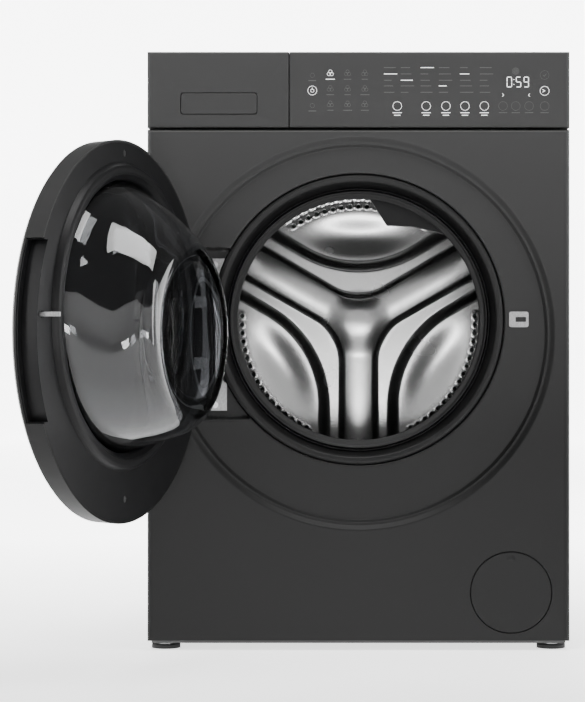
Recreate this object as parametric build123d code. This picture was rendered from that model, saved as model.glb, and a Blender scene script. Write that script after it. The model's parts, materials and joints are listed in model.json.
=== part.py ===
from build123d import *
import math
import os

# Front-loading washing machine, in millimetres.
# +X is to the right seen from the front, the front faces -Y, and z = 0 is the floor.
# The origin lies on the floor, at the middle of the four feet.
# The door stands open, as it does when the machine is loaded.

# Cabinet
WIDTH = 600.0
HEIGHT = 850.0
DEPTH = 600.0
SHEET = 1.0  # steel of the cabinet
UNDERSIDE_Z = 13.0  # lower edge of the cabinet
CORNER_R = 7.0  # vertical front corners
SEAM = 0.4  # between neighbouring cabinet panels
FRONT = -DEPTH / 2
BACK = DEPTH / 2
SIDE = WIDTH / 2

# Top panel and console
TOP_DEPTH = 14.0
TOP_WALL = 2.0
CONSOLE_HEIGHT = 108.0
CONSOLE_DEPTH = 28.0
CONSOLE_WALL = 2.5
CONSOLE_GAP = 2.5  # dark line under the console
CONSOLE_BOTTOM = HEIGHT - CONSOLE_HEIGHT
PANEL_TOP = CONSOLE_BOTTOM - CONSOLE_GAP
PANEL_FLANGE = 36.0  # how far the front panel wraps round the sides
SIDE_TOP = HEIGHT - TOP_DEPTH - 0.2

# Ring-shaped recess in the front panel, in which the door lies
DOOR_R = 252.0
DOOR_Z = 450.0
RING_R = DOOR_R + 28.0
RING_SLOPE = 9.0
RING_LEDGE = 5.0
RECESS_DEPTH = 12.0
HINGE_POCKET_DEPTH = 24.0
HINGE_POCKET_HALF = 122.5
HINGE_POCKET_R = DOOR_R + 12.0

# Porthole, gasket, tub and drum share one axis
AXIS_Z = 470.0
PORT_R = DOOR_R - 44.0
PORT_NECK = 18.0
GASKET_LIP_R = PORT_R - 35.5
GASKET_WALL_R = PORT_R - 27.0
TUB_R = 261.0
TUB_WALL = 3.0
TUB_FRONT = FRONT + 100.0
TUB_MOUTH_R = PORT_R - 20.0
TUB_FLANGE = 7.0
TUB_SPLIT = FRONT + 300.0
TUB_BACK = FRONT + 506.0
DAMPER_TOP_X = 150.0
DAMPER_BASE_X = 214.0
DAMPER_R = 15.0
DAMPER_ROD_R = 8.0
DRUM_R = TUB_R - 14.0
DRUM_SHEET = 1.2
DRUM_MOUTH_R = TUB_MOUTH_R - 5.0
DRUM_ROLL = min(30.0, (DRUM_R - DRUM_MOUTH_R) / 2)  # rolled edge at the drum's mouth
HOLE_ROWS = (DRUM_R - 58.0, DRUM_R - 43.0)
HOLE_PITCH = 4.2  # degrees
DRUM_FRONT = FRONT + 116.0
DRUM_BACK = FRONT + 460.0
ARM_ANGLES = (30.0, 150.0, 270.0)  # star on the drum's back

# Drive
SHAFT_R = 15.0
SHAFT_TAIL_R = 12.5
RUNNING = 0.03  # radial clearance of the shaft in its bearings
FRONT_BEARING_R = 31.0
REAR_BEARING_R = 26.0
BOSS_R = 45.0
BOSS_FRONT = FRONT + 482.0
BOSS_BACK = FRONT + 540.0
STATOR_R = 132.5
ROTOR_R = 140.0

# Door, drawn closed and then turned open about its hinge
DOOR_THICK = 31.0
DOOR_SKIN = 2.5
WINDOW_R = DOOR_R - 55.5
COLLAR_R = DOOR_R - 51.0
BOWL_R = DOOR_R - 74.0
BOWL_WALL = 5.0
PIVOT_X = 17.0 - DOOR_R
PIVOT_Y = FRONT - 10.0
DOOR_OPEN = 110.3
PIN_R = 3.5
PIN_PLAY = 0.05
EYE_R = 7.0
HINGE_ARMS = (405.0, 496.0)
ARM_HEIGHT = 16.0
HANDLE_HALF = 112.0
HANDLE_DEPTH = 22.0
LINER_R = DOOR_R - 14.0
LATCH_X = DOOR_R - 24.5
LATCH_Z = 470.0
STRIKE_X = LATCH_X + 3.5

# Detergent drawer
DRAWER_LEFT = -SIDE
DRAWER_RIGHT = -98.7
TRAY_WALL = 2.0
TRAY_LENGTH = 250.0
TRAY_LEFT = -280.0
TRAY_RIGHT = -115.0
TRAY_BOTTOM = CONSOLE_BOTTOM + 14.0
TRAY_TOP = CONSOLE_BOTTOM + 86.0
DRAWER_FACE = 22.0
FLAP_X = -198.0
FLAP_Z = CONSOLE_BOTTOM + 34.0
FLAP_WIDTH = 108.0
FLAP_HEIGHT = 30.0
FLAP_THICK = 2.5
FLAP_GAP = 0.7
FLAP_POCKET = 20.0

# Pump and its round cover low on the right
PUMP_X = 216.5
PUMP_Z = 82.4
COVER_R = 57.4
COVER_GAP = 0.7
COVER_THICK = 2.5
FILTER_R = 31.0
FILTER_PLAY = 0.05

# Feet
FOOT_X = 276.0
FOOT_Y = 262.0
FOOT_R = 20.5
FOOT_STUD_R = 6.0
FOOT_PLAY = 0.05
FOOT_DISC = 6.0
PAN_Z = 10.0
PAN_WALL = 2.0
PAN_INSET = 6.0

# Services at the back
INLET_X = 240.0
INLET_Z = HEIGHT - 50.0
INLET_R = 13.2  # three-quarter inch pipe thread
INLET_LENGTH = 14.0
DRAIN_X = 240.0
DRAIN_Z = 700.0
DRAIN_R = 10.5
DRAIN_LENGTH = 26.0
GLAND_X = -240.0
GLAND_Z = HEIGHT - 80.0
TRANSIT_X = 175.0
TRANSIT_Z = 150.0
TRANSIT_HOLE_R = 7.0
SERVICE_R = 168.0


# ---------------------------------------------------------------- shape helpers


def block(x0, x1, y0, y1, z0, z1):
    """A box between two corners."""
    corner = (Align.MIN, Align.MIN, Align.MIN)
    return Pos(x0, y0, z0) * Box(x1 - x0, y1 - y0, z1 - z0, align=corner)


def rod_y(radius, y0, y1, x=0.0, z=AXIS_Z):
    """A cylinder along Y."""
    base = (Align.CENTER, Align.CENTER, Align.MIN)
    return Pos(x, y0, z) * Rot(-90, 0, 0) * Cylinder(radius, y1 - y0, align=base)


def ring_y(outer, inner, y0, y1, x=0.0, z=AXIS_Z):
    """A tube along Y."""
    return rod_y(outer, y0, y1, x, z) - rod_y(inner, y0 - 1, y1 + 1, x, z)


def rod_x(radius, x0, x1, y, z):
    """A cylinder along X."""
    base = (Align.CENTER, Align.CENTER, Align.MIN)
    return Pos(x0, y, z) * Rot(0, 90, 0) * Cylinder(radius, x1 - x0, align=base)


def rod_z(radius, z0, z1, x, y):
    """A cylinder along Z."""
    base = (Align.CENTER, Align.CENTER, Align.MIN)
    return Pos(x, y, z0) * Cylinder(radius, z1 - z0, align=base)


def rod_between(start, end, radius):
    """A cylinder from one point to another."""
    run = Vector(*end) - Vector(*start)
    base = (Align.CENTER, Align.CENTER, Align.MIN)
    return Plane(origin=start, z_dir=run) * Cylinder(radius, run.length, align=base)


def turned(points, z=AXIS_Z):
    """A solid of revolution about a Y axis from (radius, y) points."""
    face = make_face(Polyline(*points, close=True))
    return Pos(0, 0, z) * revolve(face, Axis.Y)


def plate_xz(points, y0, y1):
    """A flat outline in X and Z, as thick as y0 to y1."""
    outline = Polyline(*[(x, y0, z) for x, z in points], close=True)
    return extrude(make_face(outline), amount=y1 - y0, dir=(0, 1, 0))


def plate_xy(points, z0, z1):
    """A flat outline in X and Y, as thick as z0 to z1."""
    outline = Polyline(*[(x, y, z0) for x, y in points], close=True)
    return extrude(make_face(outline), amount=z1 - z0, dir=(0, 0, 1))


def hexagon(across_flats, z0, z1, x, y):
    """A hexagonal prism along Z."""
    sketch = RegularPolygon(across_flats / math.sqrt(3), 6)
    return Pos(x, y, z0) * extrude(sketch, amount=z1 - z0)


def hose(points, bend, radius, bore):
    """A hose of straight runs joined by tangent arcs."""
    path = FilletPolyline(*points, radius=bend)
    start = Plane(origin=path @ 0, z_dir=path % 0)
    section = start * (Circle(radius) - Circle(bore))
    return sweep(section, path=path)


def bellows(radius, bore, z0, z1, folds, x, y):
    """An upright corrugated tube."""
    pitch = (z1 - z0) / folds
    outline = [(bore, z0), (radius - 2, z0)]
    for i in range(folds):
        outline.append((radius, z0 + pitch * (i + 0.5)))
        outline.append((radius - 2, z0 + pitch * (i + 1)))
    outline.append((bore, z1))
    face = make_face(Polyline(*[(r, 0, z) for r, z in outline], close=True))
    return Pos(x, y, 0) * revolve(face, Axis.Z)


def group(shapes):
    """Separate solids kept in one node."""
    return Compound(children=list(shapes))


def opened(shape):
    """A door piece drawn closed, turned to the open door's place."""
    hinge = Axis((PIVOT_X, PIVOT_Y, 0), (0, 0, 1))
    return shape.rotate(hinge, -DOOR_OPEN)


# ---------------------------------------------------------------- cabinet


def recess_space(offset):
    """What the ring recess and the hinge pocket leave free, grown by offset."""
    ledge = RING_R - RING_SLOPE
    floor_r = RING_R - RING_SLOPE - RING_LEDGE - 1
    dish = turned(
        [
            (0, FRONT - 5),
            (RING_R + offset, FRONT - 5),
            (RING_R + offset, FRONT + offset / 2),
            (ledge + offset, FRONT + RECESS_DEPTH / 2 + offset / 2),
            (ledge - 2 + offset, FRONT + RECESS_DEPTH / 2 + 1 + offset / 2),
            (floor_r + offset, FRONT + RECESS_DEPTH + offset),
            (0, FRONT + RECESS_DEPTH + offset),
        ],
        DOOR_Z,
    )
    depth = FRONT + HINGE_POCKET_DEPTH + offset
    low = DOOR_Z - HINGE_POCKET_HALF - offset
    high = DOOR_Z + HINGE_POCKET_HALF + offset
    pocket = block(-RING_R, 0, FRONT - 5, depth, low, high)
    pocket &= rod_y(HINGE_POCKET_R + offset, FRONT - 5, depth, 0, DOOR_Z)
    return dish + pocket


def front_panel():
    """Pressed front with its return flanges, dished ring, porthole and openings."""
    outer = block(-SIDE, SIDE, FRONT, FRONT + PANEL_FLANGE, UNDERSIDE_Z, PANEL_TOP)
    outer = fillet(outer.edges().filter_by(Axis.Z).group_by(Axis.Y)[0], CORNER_R)
    inside = SIDE - SHEET
    low = UNDERSIDE_Z + SHEET
    inner = block(-inside, inside, FRONT + SHEET, FRONT + PANEL_FLANGE + 5, low, PANEL_TOP - SHEET)
    inner = fillet(inner.edges().filter_by(Axis.Z).group_by(Axis.Y)[0], CORNER_R - SHEET)
    panel = (outer - recess_space(0)) - (inner - recess_space(SHEET))
    floor = FRONT + RECESS_DEPTH
    neck = ring_y(PORT_R + SHEET, PORT_R, floor, floor + PORT_NECK) - recess_space(0)
    panel = (panel + neck) - rod_y(PORT_R, FRONT, FRONT + PANEL_FLANGE)
    panel -= rod_y(COVER_R + COVER_GAP, FRONT - 1, FRONT + 5, PUMP_X, PUMP_Z)
    panel -= block(STRIKE_X - 9, STRIKE_X + 9, floor - 1, floor + 5, LATCH_Z - 5, LATCH_Z + 5)
    for x, y in foot_places():
        panel -= rod_z(FOOT_STUD_R + 2, UNDERSIDE_Z - 1, UNDERSIDE_Z + 2, x, y)
    return panel


def side_panel(sign):
    """Flat steel side with folded front, rear, top and bottom edges."""
    y0 = FRONT + PANEL_FLANGE + SEAM
    y1 = BACK - SHEET - SEAM
    fold = 14.0
    outer = block(SIDE - fold, SIDE, y0, y1, UNDERSIDE_Z, SIDE_TOP)
    low = UNDERSIDE_Z + SHEET
    inner = block(SIDE - fold - 1, SIDE - SHEET, y0 + SHEET, y1 - SHEET, low, SIDE_TOP - SHEET)
    panel = outer - inner
    if sign < 0:
        panel = mirror(panel, about=Plane.YZ)
    return panel


def rear_panel():
    """Steel back with the drive opening, services and four transit holes."""
    panel = block(-SIDE + 2, SIDE - 2, BACK - SHEET, BACK, UNDERSIDE_Z, SIDE_TOP)
    panel -= rod_y(SERVICE_R - 14, BACK - 5, BACK + 5)
    panel -= rod_y(INLET_R + 3, BACK - 5, BACK + 5, INLET_X, INLET_Z)
    panel -= rod_y(DRAIN_R + 4, BACK - 5, BACK + 5, DRAIN_X, DRAIN_Z)
    panel -= rod_y(7.2, BACK - 5, BACK + 5, GLAND_X, GLAND_Z)
    for x in (-TRANSIT_X, TRANSIT_X):
        for z in (AXIS_Z - TRANSIT_Z, AXIS_Z + TRANSIT_Z):
            panel -= rod_y(TRANSIT_HOLE_R, BACK - 5, BACK + 5, x, z)
    return panel


def rear_cover():
    """Domed round cover over the drive."""
    return turned(
        [
            (0, BACK + 12),
            (SERVICE_R - 45, BACK + 12),
            (SERVICE_R - 22, BACK),
            (SERVICE_R, BACK),
            (SERVICE_R, BACK + 1.2),
            (SERVICE_R - 21.5, BACK + 1.2),
            (SERVICE_R - 44.5, BACK + 13.2),
            (0, BACK + 13.2),
        ]
    )


def cabinet_screws():
    """Screws of the hinge plate, the rear cover and the rear panel."""
    screws = hinge_screws()
    for i in range(6):
        angle = math.radians(30 + 60 * i)
        x = (SERVICE_R - 8) * math.cos(angle)
        z = AXIS_Z + (SERVICE_R - 8) * math.sin(angle)
        screws.append(rod_y(4.5, BACK + 1.2, BACK + 3.4, x, z))
    for x in (-SIDE + 9, SIDE - 9):
        for z in (60.0, 240.0, 420.0, 600.0, 780.0):
            screws.append(rod_y(4.5, BACK, BACK + 2.2, x, z))
    return group(screws)


def top_panel():
    """Worktop tray behind the console."""
    y0 = FRONT + CONSOLE_DEPTH + SEAM
    outer = block(-SIDE, SIDE, y0, BACK, HEIGHT - TOP_DEPTH, HEIGHT)
    inner = block(
        -SIDE + TOP_WALL, SIDE - TOP_WALL, y0 + TOP_WALL, BACK - TOP_WALL, 0, HEIGHT - TOP_WALL
    )
    return outer - inner


def base_pan():
    """Steel floor frame that carries the feet, the dampers and the pump."""
    side = SIDE - PAN_INSET
    y0 = FRONT + PAN_INSET
    y1 = BACK - PAN_INSET
    rim = 18.0
    pan = block(-side, side, y0, y1, PAN_Z, UNDERSIDE_Z)
    pan -= block(
        -side + rim, side - rim, y0 + rim, y1 - rim, PAN_Z + PAN_WALL, UNDERSIDE_Z + 1
    )
    for x, y in foot_places():
        pan -= rod_z(FOOT_STUD_R + FOOT_PLAY, PAN_Z - 1, PAN_Z + PAN_WALL + 1, x, y)
    for start, end in damper_lines():
        x, y, z = end
        pan += block(x - 12, x + 12, y - 17, y + 17, PAN_Z + PAN_WALL, z)
        pan -= rod_between(end, start, DAMPER_R)
    saddle = block(PUMP_X - 16, PUMP_X + 16, FRONT + 60, FRONT + 140, PAN_Z + PAN_WALL, 60)
    pan += saddle - rod_y(FILTER_R + 5.1, FRONT, FRONT + 200, PUMP_X, PUMP_Z)
    return pan


def foot_places():
    """Where the four feet stand."""
    return [(x, y) for y in (-FOOT_Y, FOOT_Y) for x in (-FOOT_X, FOOT_X)]


def foot(x, y):
    """One levelling foot with its threaded stud."""
    disc = fillet(rod_z(FOOT_R, 0, FOOT_DISC, x, y).edges().group_by(Axis.Z)[-1], 1.5)
    return disc + rod_z(FOOT_STUD_R, FOOT_DISC, 45, x, y)


def foot_lock_nuts():
    """Nuts that lock the feet under the base."""
    nuts = []
    for x, y in foot_places():
        nut = hexagon(21.0, FOOT_DISC + 0.3, PAN_Z, x, y)
        nuts.append(nut - rod_z(FOOT_STUD_R + FOOT_PLAY, 0, 20, x, y))
    return group(nuts)


# ---------------------------------------------------------------- console and drawer


def console_panel():
    """Moulded control face, with a frame behind the detergent drawer."""
    left = DRAWER_RIGHT + SEAM + 0.2
    face = block(left, SIDE, FRONT, FRONT + CONSOLE_DEPTH, CONSOLE_BOTTOM, HEIGHT)
    corner = face.edges().filter_by(Axis.Z).group_by(Axis.Y)[0].sort_by(Axis.X)[-1]
    face = fillet(corner, CORNER_R)
    face -= block(
        left + CONSOLE_WALL,
        SIDE - CONSOLE_WALL,
        FRONT + CONSOLE_WALL,
        FRONT + CONSOLE_DEPTH + 1,
        CONSOLE_BOTTOM + CONSOLE_WALL,
        HEIGHT - CONSOLE_WALL,
    )
    y1 = FRONT + CONSOLE_DEPTH
    frame = block(-SIDE, left + CONSOLE_WALL, y1 - CONSOLE_WALL, y1, CONSOLE_BOTTOM, HEIGHT)
    frame -= block(
        TRAY_LEFT - 3, TRAY_RIGHT + 3, FRONT, BACK, TRAY_BOTTOM - 3, TRAY_TOP + 3
    )
    return face + frame


def control_board():
    """Circuit board behind the touch keys, with its time display."""
    y0 = FRONT + CONSOLE_WALL + 6
    board = block(-84, 286, y0, y0 + 1.6, CONSOLE_BOTTOM + 10, CONSOLE_BOTTOM + 94)
    for x in (-70, 30, 130, 270):
        for z in (CONSOLE_BOTTOM + 16, CONSOLE_BOTTOM + 88):
            board += rod_y(3, FRONT + CONSOLE_WALL, y0, x, z)
    display = block(205, 250, y0 - 5, y0, CONSOLE_BOTTOM + 48, CONSOLE_BOTTOM + 86)
    return group([board, display])


def flap_pocket(grow):
    """Room behind the drawer's grip flap."""
    half = FLAP_WIDTH / 2 + FLAP_GAP + grow
    low = FLAP_Z - FLAP_HEIGHT / 2 - FLAP_GAP - grow
    high = FLAP_Z + FLAP_HEIGHT / 2 + FLAP_GAP + grow
    return block(
        FLAP_X - half, FLAP_X + half, FRONT - 1, FRONT + FLAP_POCKET + grow / 2, low, high
    )


def drawer_front():
    """Left part of the console face, with the pocket behind the grip flap."""
    y1 = FRONT + DRAWER_FACE
    face = block(DRAWER_LEFT, DRAWER_RIGHT, FRONT, y1, CONSOLE_BOTTOM, HEIGHT)
    corner = face.edges().filter_by(Axis.Z).group_by(Axis.Y)[0].sort_by(Axis.X)[0]
    face = fillet(corner, CORNER_R)
    hollow = block(
        DRAWER_LEFT + CONSOLE_WALL,
        DRAWER_RIGHT - CONSOLE_WALL,
        FRONT + CONSOLE_WALL,
        y1 + 1,
        CONSOLE_BOTTOM + CONSOLE_WALL,
        HEIGHT - CONSOLE_WALL,
    )
    face -= hollow - (flap_pocket(1.5) & hollow)
    face -= flap_pocket(0)
    bore = rod_x(1.3, FLAP_X - 57.5, FLAP_X + 57.5, flap_axis()[0], flap_axis()[1])
    return face - bore


def flap_axis():
    """Y and Z of the line that the grip flap turns about."""
    return FRONT + 2.2, FLAP_Z + FLAP_HEIGHT / 2 - 2.2


def grip_flap():
    """Sprung flap that swings in when fingers push it."""
    half = FLAP_WIDTH / 2
    y, z = flap_axis()
    low = FLAP_Z - FLAP_HEIGHT / 2
    plate = block(FLAP_X - half, FLAP_X + half, FRONT, FRONT + FLAP_THICK, low, z)
    barrel = rod_x(2.2, FLAP_X - half, FLAP_X + half, y, z)
    pin = rod_x(1.25, FLAP_X - half - 1.8, FLAP_X + half + 1.8, y, z)
    return plate + barrel + pin


def drawer_tray():
    """Open tray with three detergent compartments behind its front plate."""
    y0 = FRONT + DRAWER_FACE
    y1 = y0 + TRAY_LENGTH
    tray = block(TRAY_LEFT, TRAY_RIGHT, y0, y1, TRAY_BOTTOM, TRAY_TOP)
    width = (TRAY_RIGHT - TRAY_LEFT - 4 * TRAY_WALL) / 3
    for i in range(3):
        x0 = TRAY_LEFT + TRAY_WALL + i * (width + TRAY_WALL)
        tray -= block(
            x0, x0 + width, y0 + TRAY_WALL, y1 - TRAY_WALL, TRAY_BOTTOM + TRAY_WALL, TRAY_TOP + 1
        )
    low, high = CONSOLE_BOTTOM + 4, HEIGHT - 4
    plate = block(DRAWER_LEFT + 4, DRAWER_RIGHT - 4, y0, y0 + TRAY_WALL, low, high)
    return tray + plate


def siphon_cap():
    """Cap over the softener siphon, standing in the right compartment."""
    width = (TRAY_RIGHT - TRAY_LEFT - 4 * TRAY_WALL) / 3
    x = TRAY_RIGHT - TRAY_WALL - width / 2
    y = FRONT + DRAWER_FACE + TRAY_LENGTH - 40
    z0 = TRAY_BOTTOM + TRAY_WALL
    cap = rod_z(9, z0, z0 + 46, x, y)
    return cap + block(x - width / 2 + 1, x + width / 2 - 1, y - 20, y + 20, z0 + 46, z0 + 48)


def dispenser_housing():
    """Box round the drawer, open at the front and to the filling bellows."""
    y0 = FRONT + CONSOLE_DEPTH
    y1 = y0 + TRAY_LENGTH + 12
    wall = 2.0
    x0, x1 = TRAY_LEFT - 3 - wall, TRAY_RIGHT + 3 + wall
    z0, z1 = TRAY_BOTTOM - 3 - wall, TRAY_TOP + 3 + wall
    box = block(x0, x1, y0, y1, z0, z1)
    box -= block(x0 + wall, x1 - wall, y0 - 1, y1 - wall, z0 + wall, z1 - wall)
    x, y = bellows_place()
    box -= rod_z(18, z0 - 1, z0 + wall + 1, x, y)
    return box


# ---------------------------------------------------------------- water and pump


def bellows_place():
    """X and Y of the filling bellows between dispenser and tub."""
    return (TRAY_LEFT + TRAY_RIGHT) / 2, FRONT + 200.0


def fill_bellows():
    """Rubber bellows from the dispenser to the tub."""
    x, y = bellows_place()
    return bellows(22, 18, 700, TRAY_BOTTOM - 5, 5, x, y)


def inlet_valve():
    """Solenoid valve with its threaded spigot through the back."""
    y1 = BACK - SHEET
    body = block(INLET_X - 17, INLET_X + 17, y1 - 30, y1, INLET_Z - 17, INLET_Z + 17)
    body += rod_y(INLET_R + 2.5, y1, BACK, INLET_X, INLET_Z)
    body += rod_y(INLET_R, BACK, BACK + INLET_LENGTH, INLET_X, INLET_Z)
    body += rod_y(12, y1 - 62, y1 - 30, INLET_X, INLET_Z)
    body -= rod_y(9, BACK - 10, BACK + INLET_LENGTH + 1, INLET_X, INLET_Z)
    return body


def fill_hose():
    """Hose from the valve to the dispenser's top."""
    x = bellows_place()[0]
    end_y = FRONT + CONSOLE_DEPTH + TRAY_LENGTH + 12
    points = [
        (INLET_X, BACK - SHEET - 62, INLET_Z),
        (INLET_X, 120, INLET_Z),
        (x, 120, INLET_Z),
        (x, end_y, INLET_Z),
    ]
    return hose(points, 58, 8, 6)


def sump_hose():
    """Wide hose from the tub's sump to the pump."""
    points = [(0, 40, 162), (0, 40, 100), (0, -190, 100), (PUMP_X - 62, -190, 100)]
    return hose(points, 28, 19, 16)


def drain_hose():
    """Hose from the pump up the back to the drain outlet."""
    rear = BACK - 70
    points = [
        (DRAIN_X, -98, PUMP_Z + 20),
        (DRAIN_X, rear, PUMP_Z + 20),
        (DRAIN_X, rear, DRAIN_Z),
        (DRAIN_X, BACK - 30, DRAIN_Z),
    ]
    return hose(points, 38, 11, 8.5)


def drain_outlet():
    """Spigot on the back that the drain hose leaves from."""
    outlet = rod_y(DRAIN_R, BACK - 30, BACK + DRAIN_LENGTH, DRAIN_X, DRAIN_Z)
    outlet += rod_y(DRAIN_R + 8, BACK, BACK + 3, DRAIN_X, DRAIN_Z)
    return outlet - rod_y(8, BACK - 31, BACK + DRAIN_LENGTH + 1, DRAIN_X, DRAIN_Z)


def cord_gland():
    """Gland in the back for the mains cord."""
    gland = rod_y(7.2, BACK - 12, BACK, GLAND_X, GLAND_Z)
    gland += rod_y(12, BACK, BACK + 7, GLAND_X, GLAND_Z)
    return gland - rod_y(4.5, BACK - 13, BACK + 8, GLAND_X, GLAND_Z)


def drain_pump():
    """Filter chamber, volute and motor."""
    pump = rod_y(FILTER_R + 5, FRONT + 26, FRONT + 154, PUMP_X, PUMP_Z)
    pump -= rod_y(FILTER_R, FRONT + 20, FRONT + 150, PUMP_X, PUMP_Z)
    pump += rod_y(28, FRONT + 154, FRONT + 198, PUMP_X, PUMP_Z)
    inlet = rod_x(16, PUMP_X - 62, PUMP_X - 20, -190, 100)
    pump += inlet - rod_y(FILTER_R, FRONT + 20, FRONT + 150, PUMP_X, PUMP_Z)
    pump += rod_y(11, FRONT + 150, FRONT + 202, DRAIN_X, PUMP_Z + 20)
    return pump


def filter_knob():
    """Screw-in filter with its grip bar and basket."""
    knob = rod_y(FILTER_R - FILTER_PLAY, FRONT + 24, FRONT + 50, PUMP_X, PUMP_Z)
    grip = block(PUMP_X - 24, PUMP_X + 24, FRONT + 18, FRONT + 24, PUMP_Z - 5, PUMP_Z + 5)
    basket = ring_y(24, 21, FRONT + 50, FRONT + 120, PUMP_X, PUMP_Z)
    return knob + fillet(grip.edges().filter_by(Axis.Y), 4) + basket


def pump_frame():
    """Dish behind the round cover."""
    outer = COVER_R + COVER_GAP + 2
    y0 = FRONT + SHEET
    frame = ring_y(outer, outer - 2, y0, FRONT + 16, PUMP_X, PUMP_Z)
    frame += ring_y(outer, FILTER_R + 2, FRONT + 14, FRONT + 16, PUMP_X, PUMP_Z)
    return frame


def pump_cover():
    """Flush round cover with a coin notch and a push-in skirt."""
    cover = rod_y(COVER_R, FRONT, FRONT + COVER_THICK, PUMP_X, PUMP_Z)
    cover -= rod_y(5, FRONT - 1, FRONT + 1.2, PUMP_X, PUMP_Z + 47)
    skirt = ring_y(COVER_R - 1, COVER_R - 3, FRONT + 1, FRONT + 10, PUMP_X, PUMP_Z)
    for angle in (0, 90, 180, 270):
        gap = block(-12, 12, FRONT + COVER_THICK, FRONT + 11, COVER_R - 8, COVER_R)
        skirt -= Pos(PUMP_X, 0, PUMP_Z) * Rot(0, angle, 0) * gap
    return cover + skirt


def heater():
    """Flat heating loop in the tub's sump."""
    z = AXIS_Z - TUB_R - 4
    loop = FilletPolyline(
        (-24, TUB_BACK - 3, z), (-24, FRONT + 340, z), (24, FRONT + 340, z), (24, TUB_BACK - 3, z), radius=20
    )
    start = Plane(origin=loop @ 0, z_dir=loop % 0)
    return sweep(start * Circle(3), path=loop)


# ---------------------------------------------------------------- tub and suspension


def spring_places():
    """X and Y of the four suspension springs."""
    side = TUB_R + 1
    return [(x, y) for y in (FRONT + 330.0, FRONT + 430.0) for x in (-side, side)]


def damper_lines():
    """Upper and lower ends of the four dampers."""
    lines = []
    tub_low = AXIS_Z - math.sqrt((TUB_R + TUB_WALL) ** 2 - DAMPER_TOP_X**2)
    for y in (FRONT + 225.0, FRONT + 440.0):
        for sign in (-1, 1):
            top = (sign * DAMPER_TOP_X, y, tub_low - 16.75)
            lines.append((top, (sign * DAMPER_BASE_X, y, 34)))
    return lines


def tub_front():
    """Front half of the tub with its mouth and filling spout."""
    r = TUB_R + TUB_WALL
    shell = rod_y(r, TUB_FRONT, TUB_SPLIT) + rod_y(r + TUB_FLANGE, TUB_SPLIT - 9, TUB_SPLIT)
    x, y = bellows_place()
    shell += rod_z(22, 600, 700, x, y)
    for start, end in damper_lines()[:2]:
        x0, y0, z0 = start
        shell += block(x0 - 12, x0 + 12, y0 - 17, y0 + 17, z0, z0 + 39)
        shell -= rod_between(end, start, DAMPER_ROD_R)
    cavity = rod_y(TUB_R, TUB_FRONT + TUB_WALL, TUB_SPLIT + 1) + rod_z(18, 560, 701, x, y)
    mouth = ring_y(TUB_MOUTH_R + 3, TUB_MOUTH_R, TUB_FRONT - 14, TUB_FRONT + TUB_WALL)
    return shell - cavity - rod_y(TUB_MOUTH_R, TUB_FRONT - 1, TUB_SPLIT) + mouth


def tub_rear():
    """Rear half of the tub with its bearing boss, sump and hanging lugs."""
    r = TUB_R + TUB_WALL
    shell = rod_y(r, TUB_SPLIT, TUB_BACK) + rod_y(r + TUB_FLANGE, TUB_SPLIT, TUB_SPLIT + 9)
    shell += block(-60, 60, TUB_SPLIT + 20, TUB_BACK, AXIS_Z - TUB_R - 24, AXIS_Z - TUB_R + 41)
    for x, y in spring_places():
        side = math.copysign(1, x)
        inner = side * (TUB_R - 36)
        lug = block(min(x, inner), max(x, inner), y - 12, y + 12, 590, 640)
        shell += lug + rod_z(12, 590, 640, x, y)
    for start, end in damper_lines()[2:]:
        x0, y0, z0 = start
        shell += block(x0 - 12, x0 + 12, y0 - 17, y0 + 17, z0, z0 + 39)
        shell -= rod_between(end, start, DAMPER_ROD_R)
    shell += rod_z(19, 162, AXIS_Z - TUB_R - 20, 0, 40)
    shell -= rod_y(TUB_R, TUB_SPLIT - 1, TUB_BACK - TUB_WALL)
    sump_top = AXIS_Z - TUB_R + 61
    shell -= block(-57, 57, TUB_SPLIT + 23, TUB_BACK - 3, AXIS_Z - TUB_R - 21, sump_top)
    shell -= rod_z(16, 160, AXIS_Z - TUB_R, 0, 40)
    shell += rod_y(BOSS_R, BOSS_FRONT, BOSS_BACK)
    shell -= rod_y(FRONT_BEARING_R, BOSS_FRONT - 1, BOSS_FRONT + 24)
    shell -= rod_y(REAR_BEARING_R - 3, BOSS_FRONT, BOSS_BACK)
    return shell - rod_y(REAR_BEARING_R, BOSS_BACK - 18, BOSS_BACK + 1)


def counterweights():
    """Cast blocks on the tub's front wall, above and below the mouth."""
    ring = ring_y(TUB_R - 3, TUB_MOUTH_R + 17, TUB_FRONT - 44, TUB_FRONT)
    blocks = []
    for sign in (-1, 1):
        low, high = sorted((AXIS_Z + sign * 70, AXIS_Z + sign * 300))
        blocks.append(ring & block(-SIDE, SIDE, FRONT, TUB_SPLIT, low, high))
    return group(blocks)


def suspension_springs():
    """Four close-wound springs from the brackets to the tub."""
    springs = []
    for x, y in spring_places():
        springs.append(bellows(10, 7, 640, 722, 12, x, y))
    return group(springs)


def spring_brackets():
    """Brackets on the side panels that the springs hang from."""
    brackets = []
    for x, y in spring_places():
        side = math.copysign(1, x)
        low, high = sorted((side * (TUB_R - 15), side * (SIDE - SHEET)))
        brackets.append(block(low, high, y - 14, y + 14, 722, 728))
    return group(brackets)


def dampers():
    """Cylinders and rods of the four friction dampers."""
    parts = []
    for start, end in damper_lines():
        top = Vector(*start)
        base = Vector(*end)
        middle = base + (top - base) * 0.55
        parts.append(rod_between(tuple(base), tuple(middle), DAMPER_R))
        parts.append(rod_between(tuple(middle), tuple(top), DAMPER_ROD_R))
    return group(parts)


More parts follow.
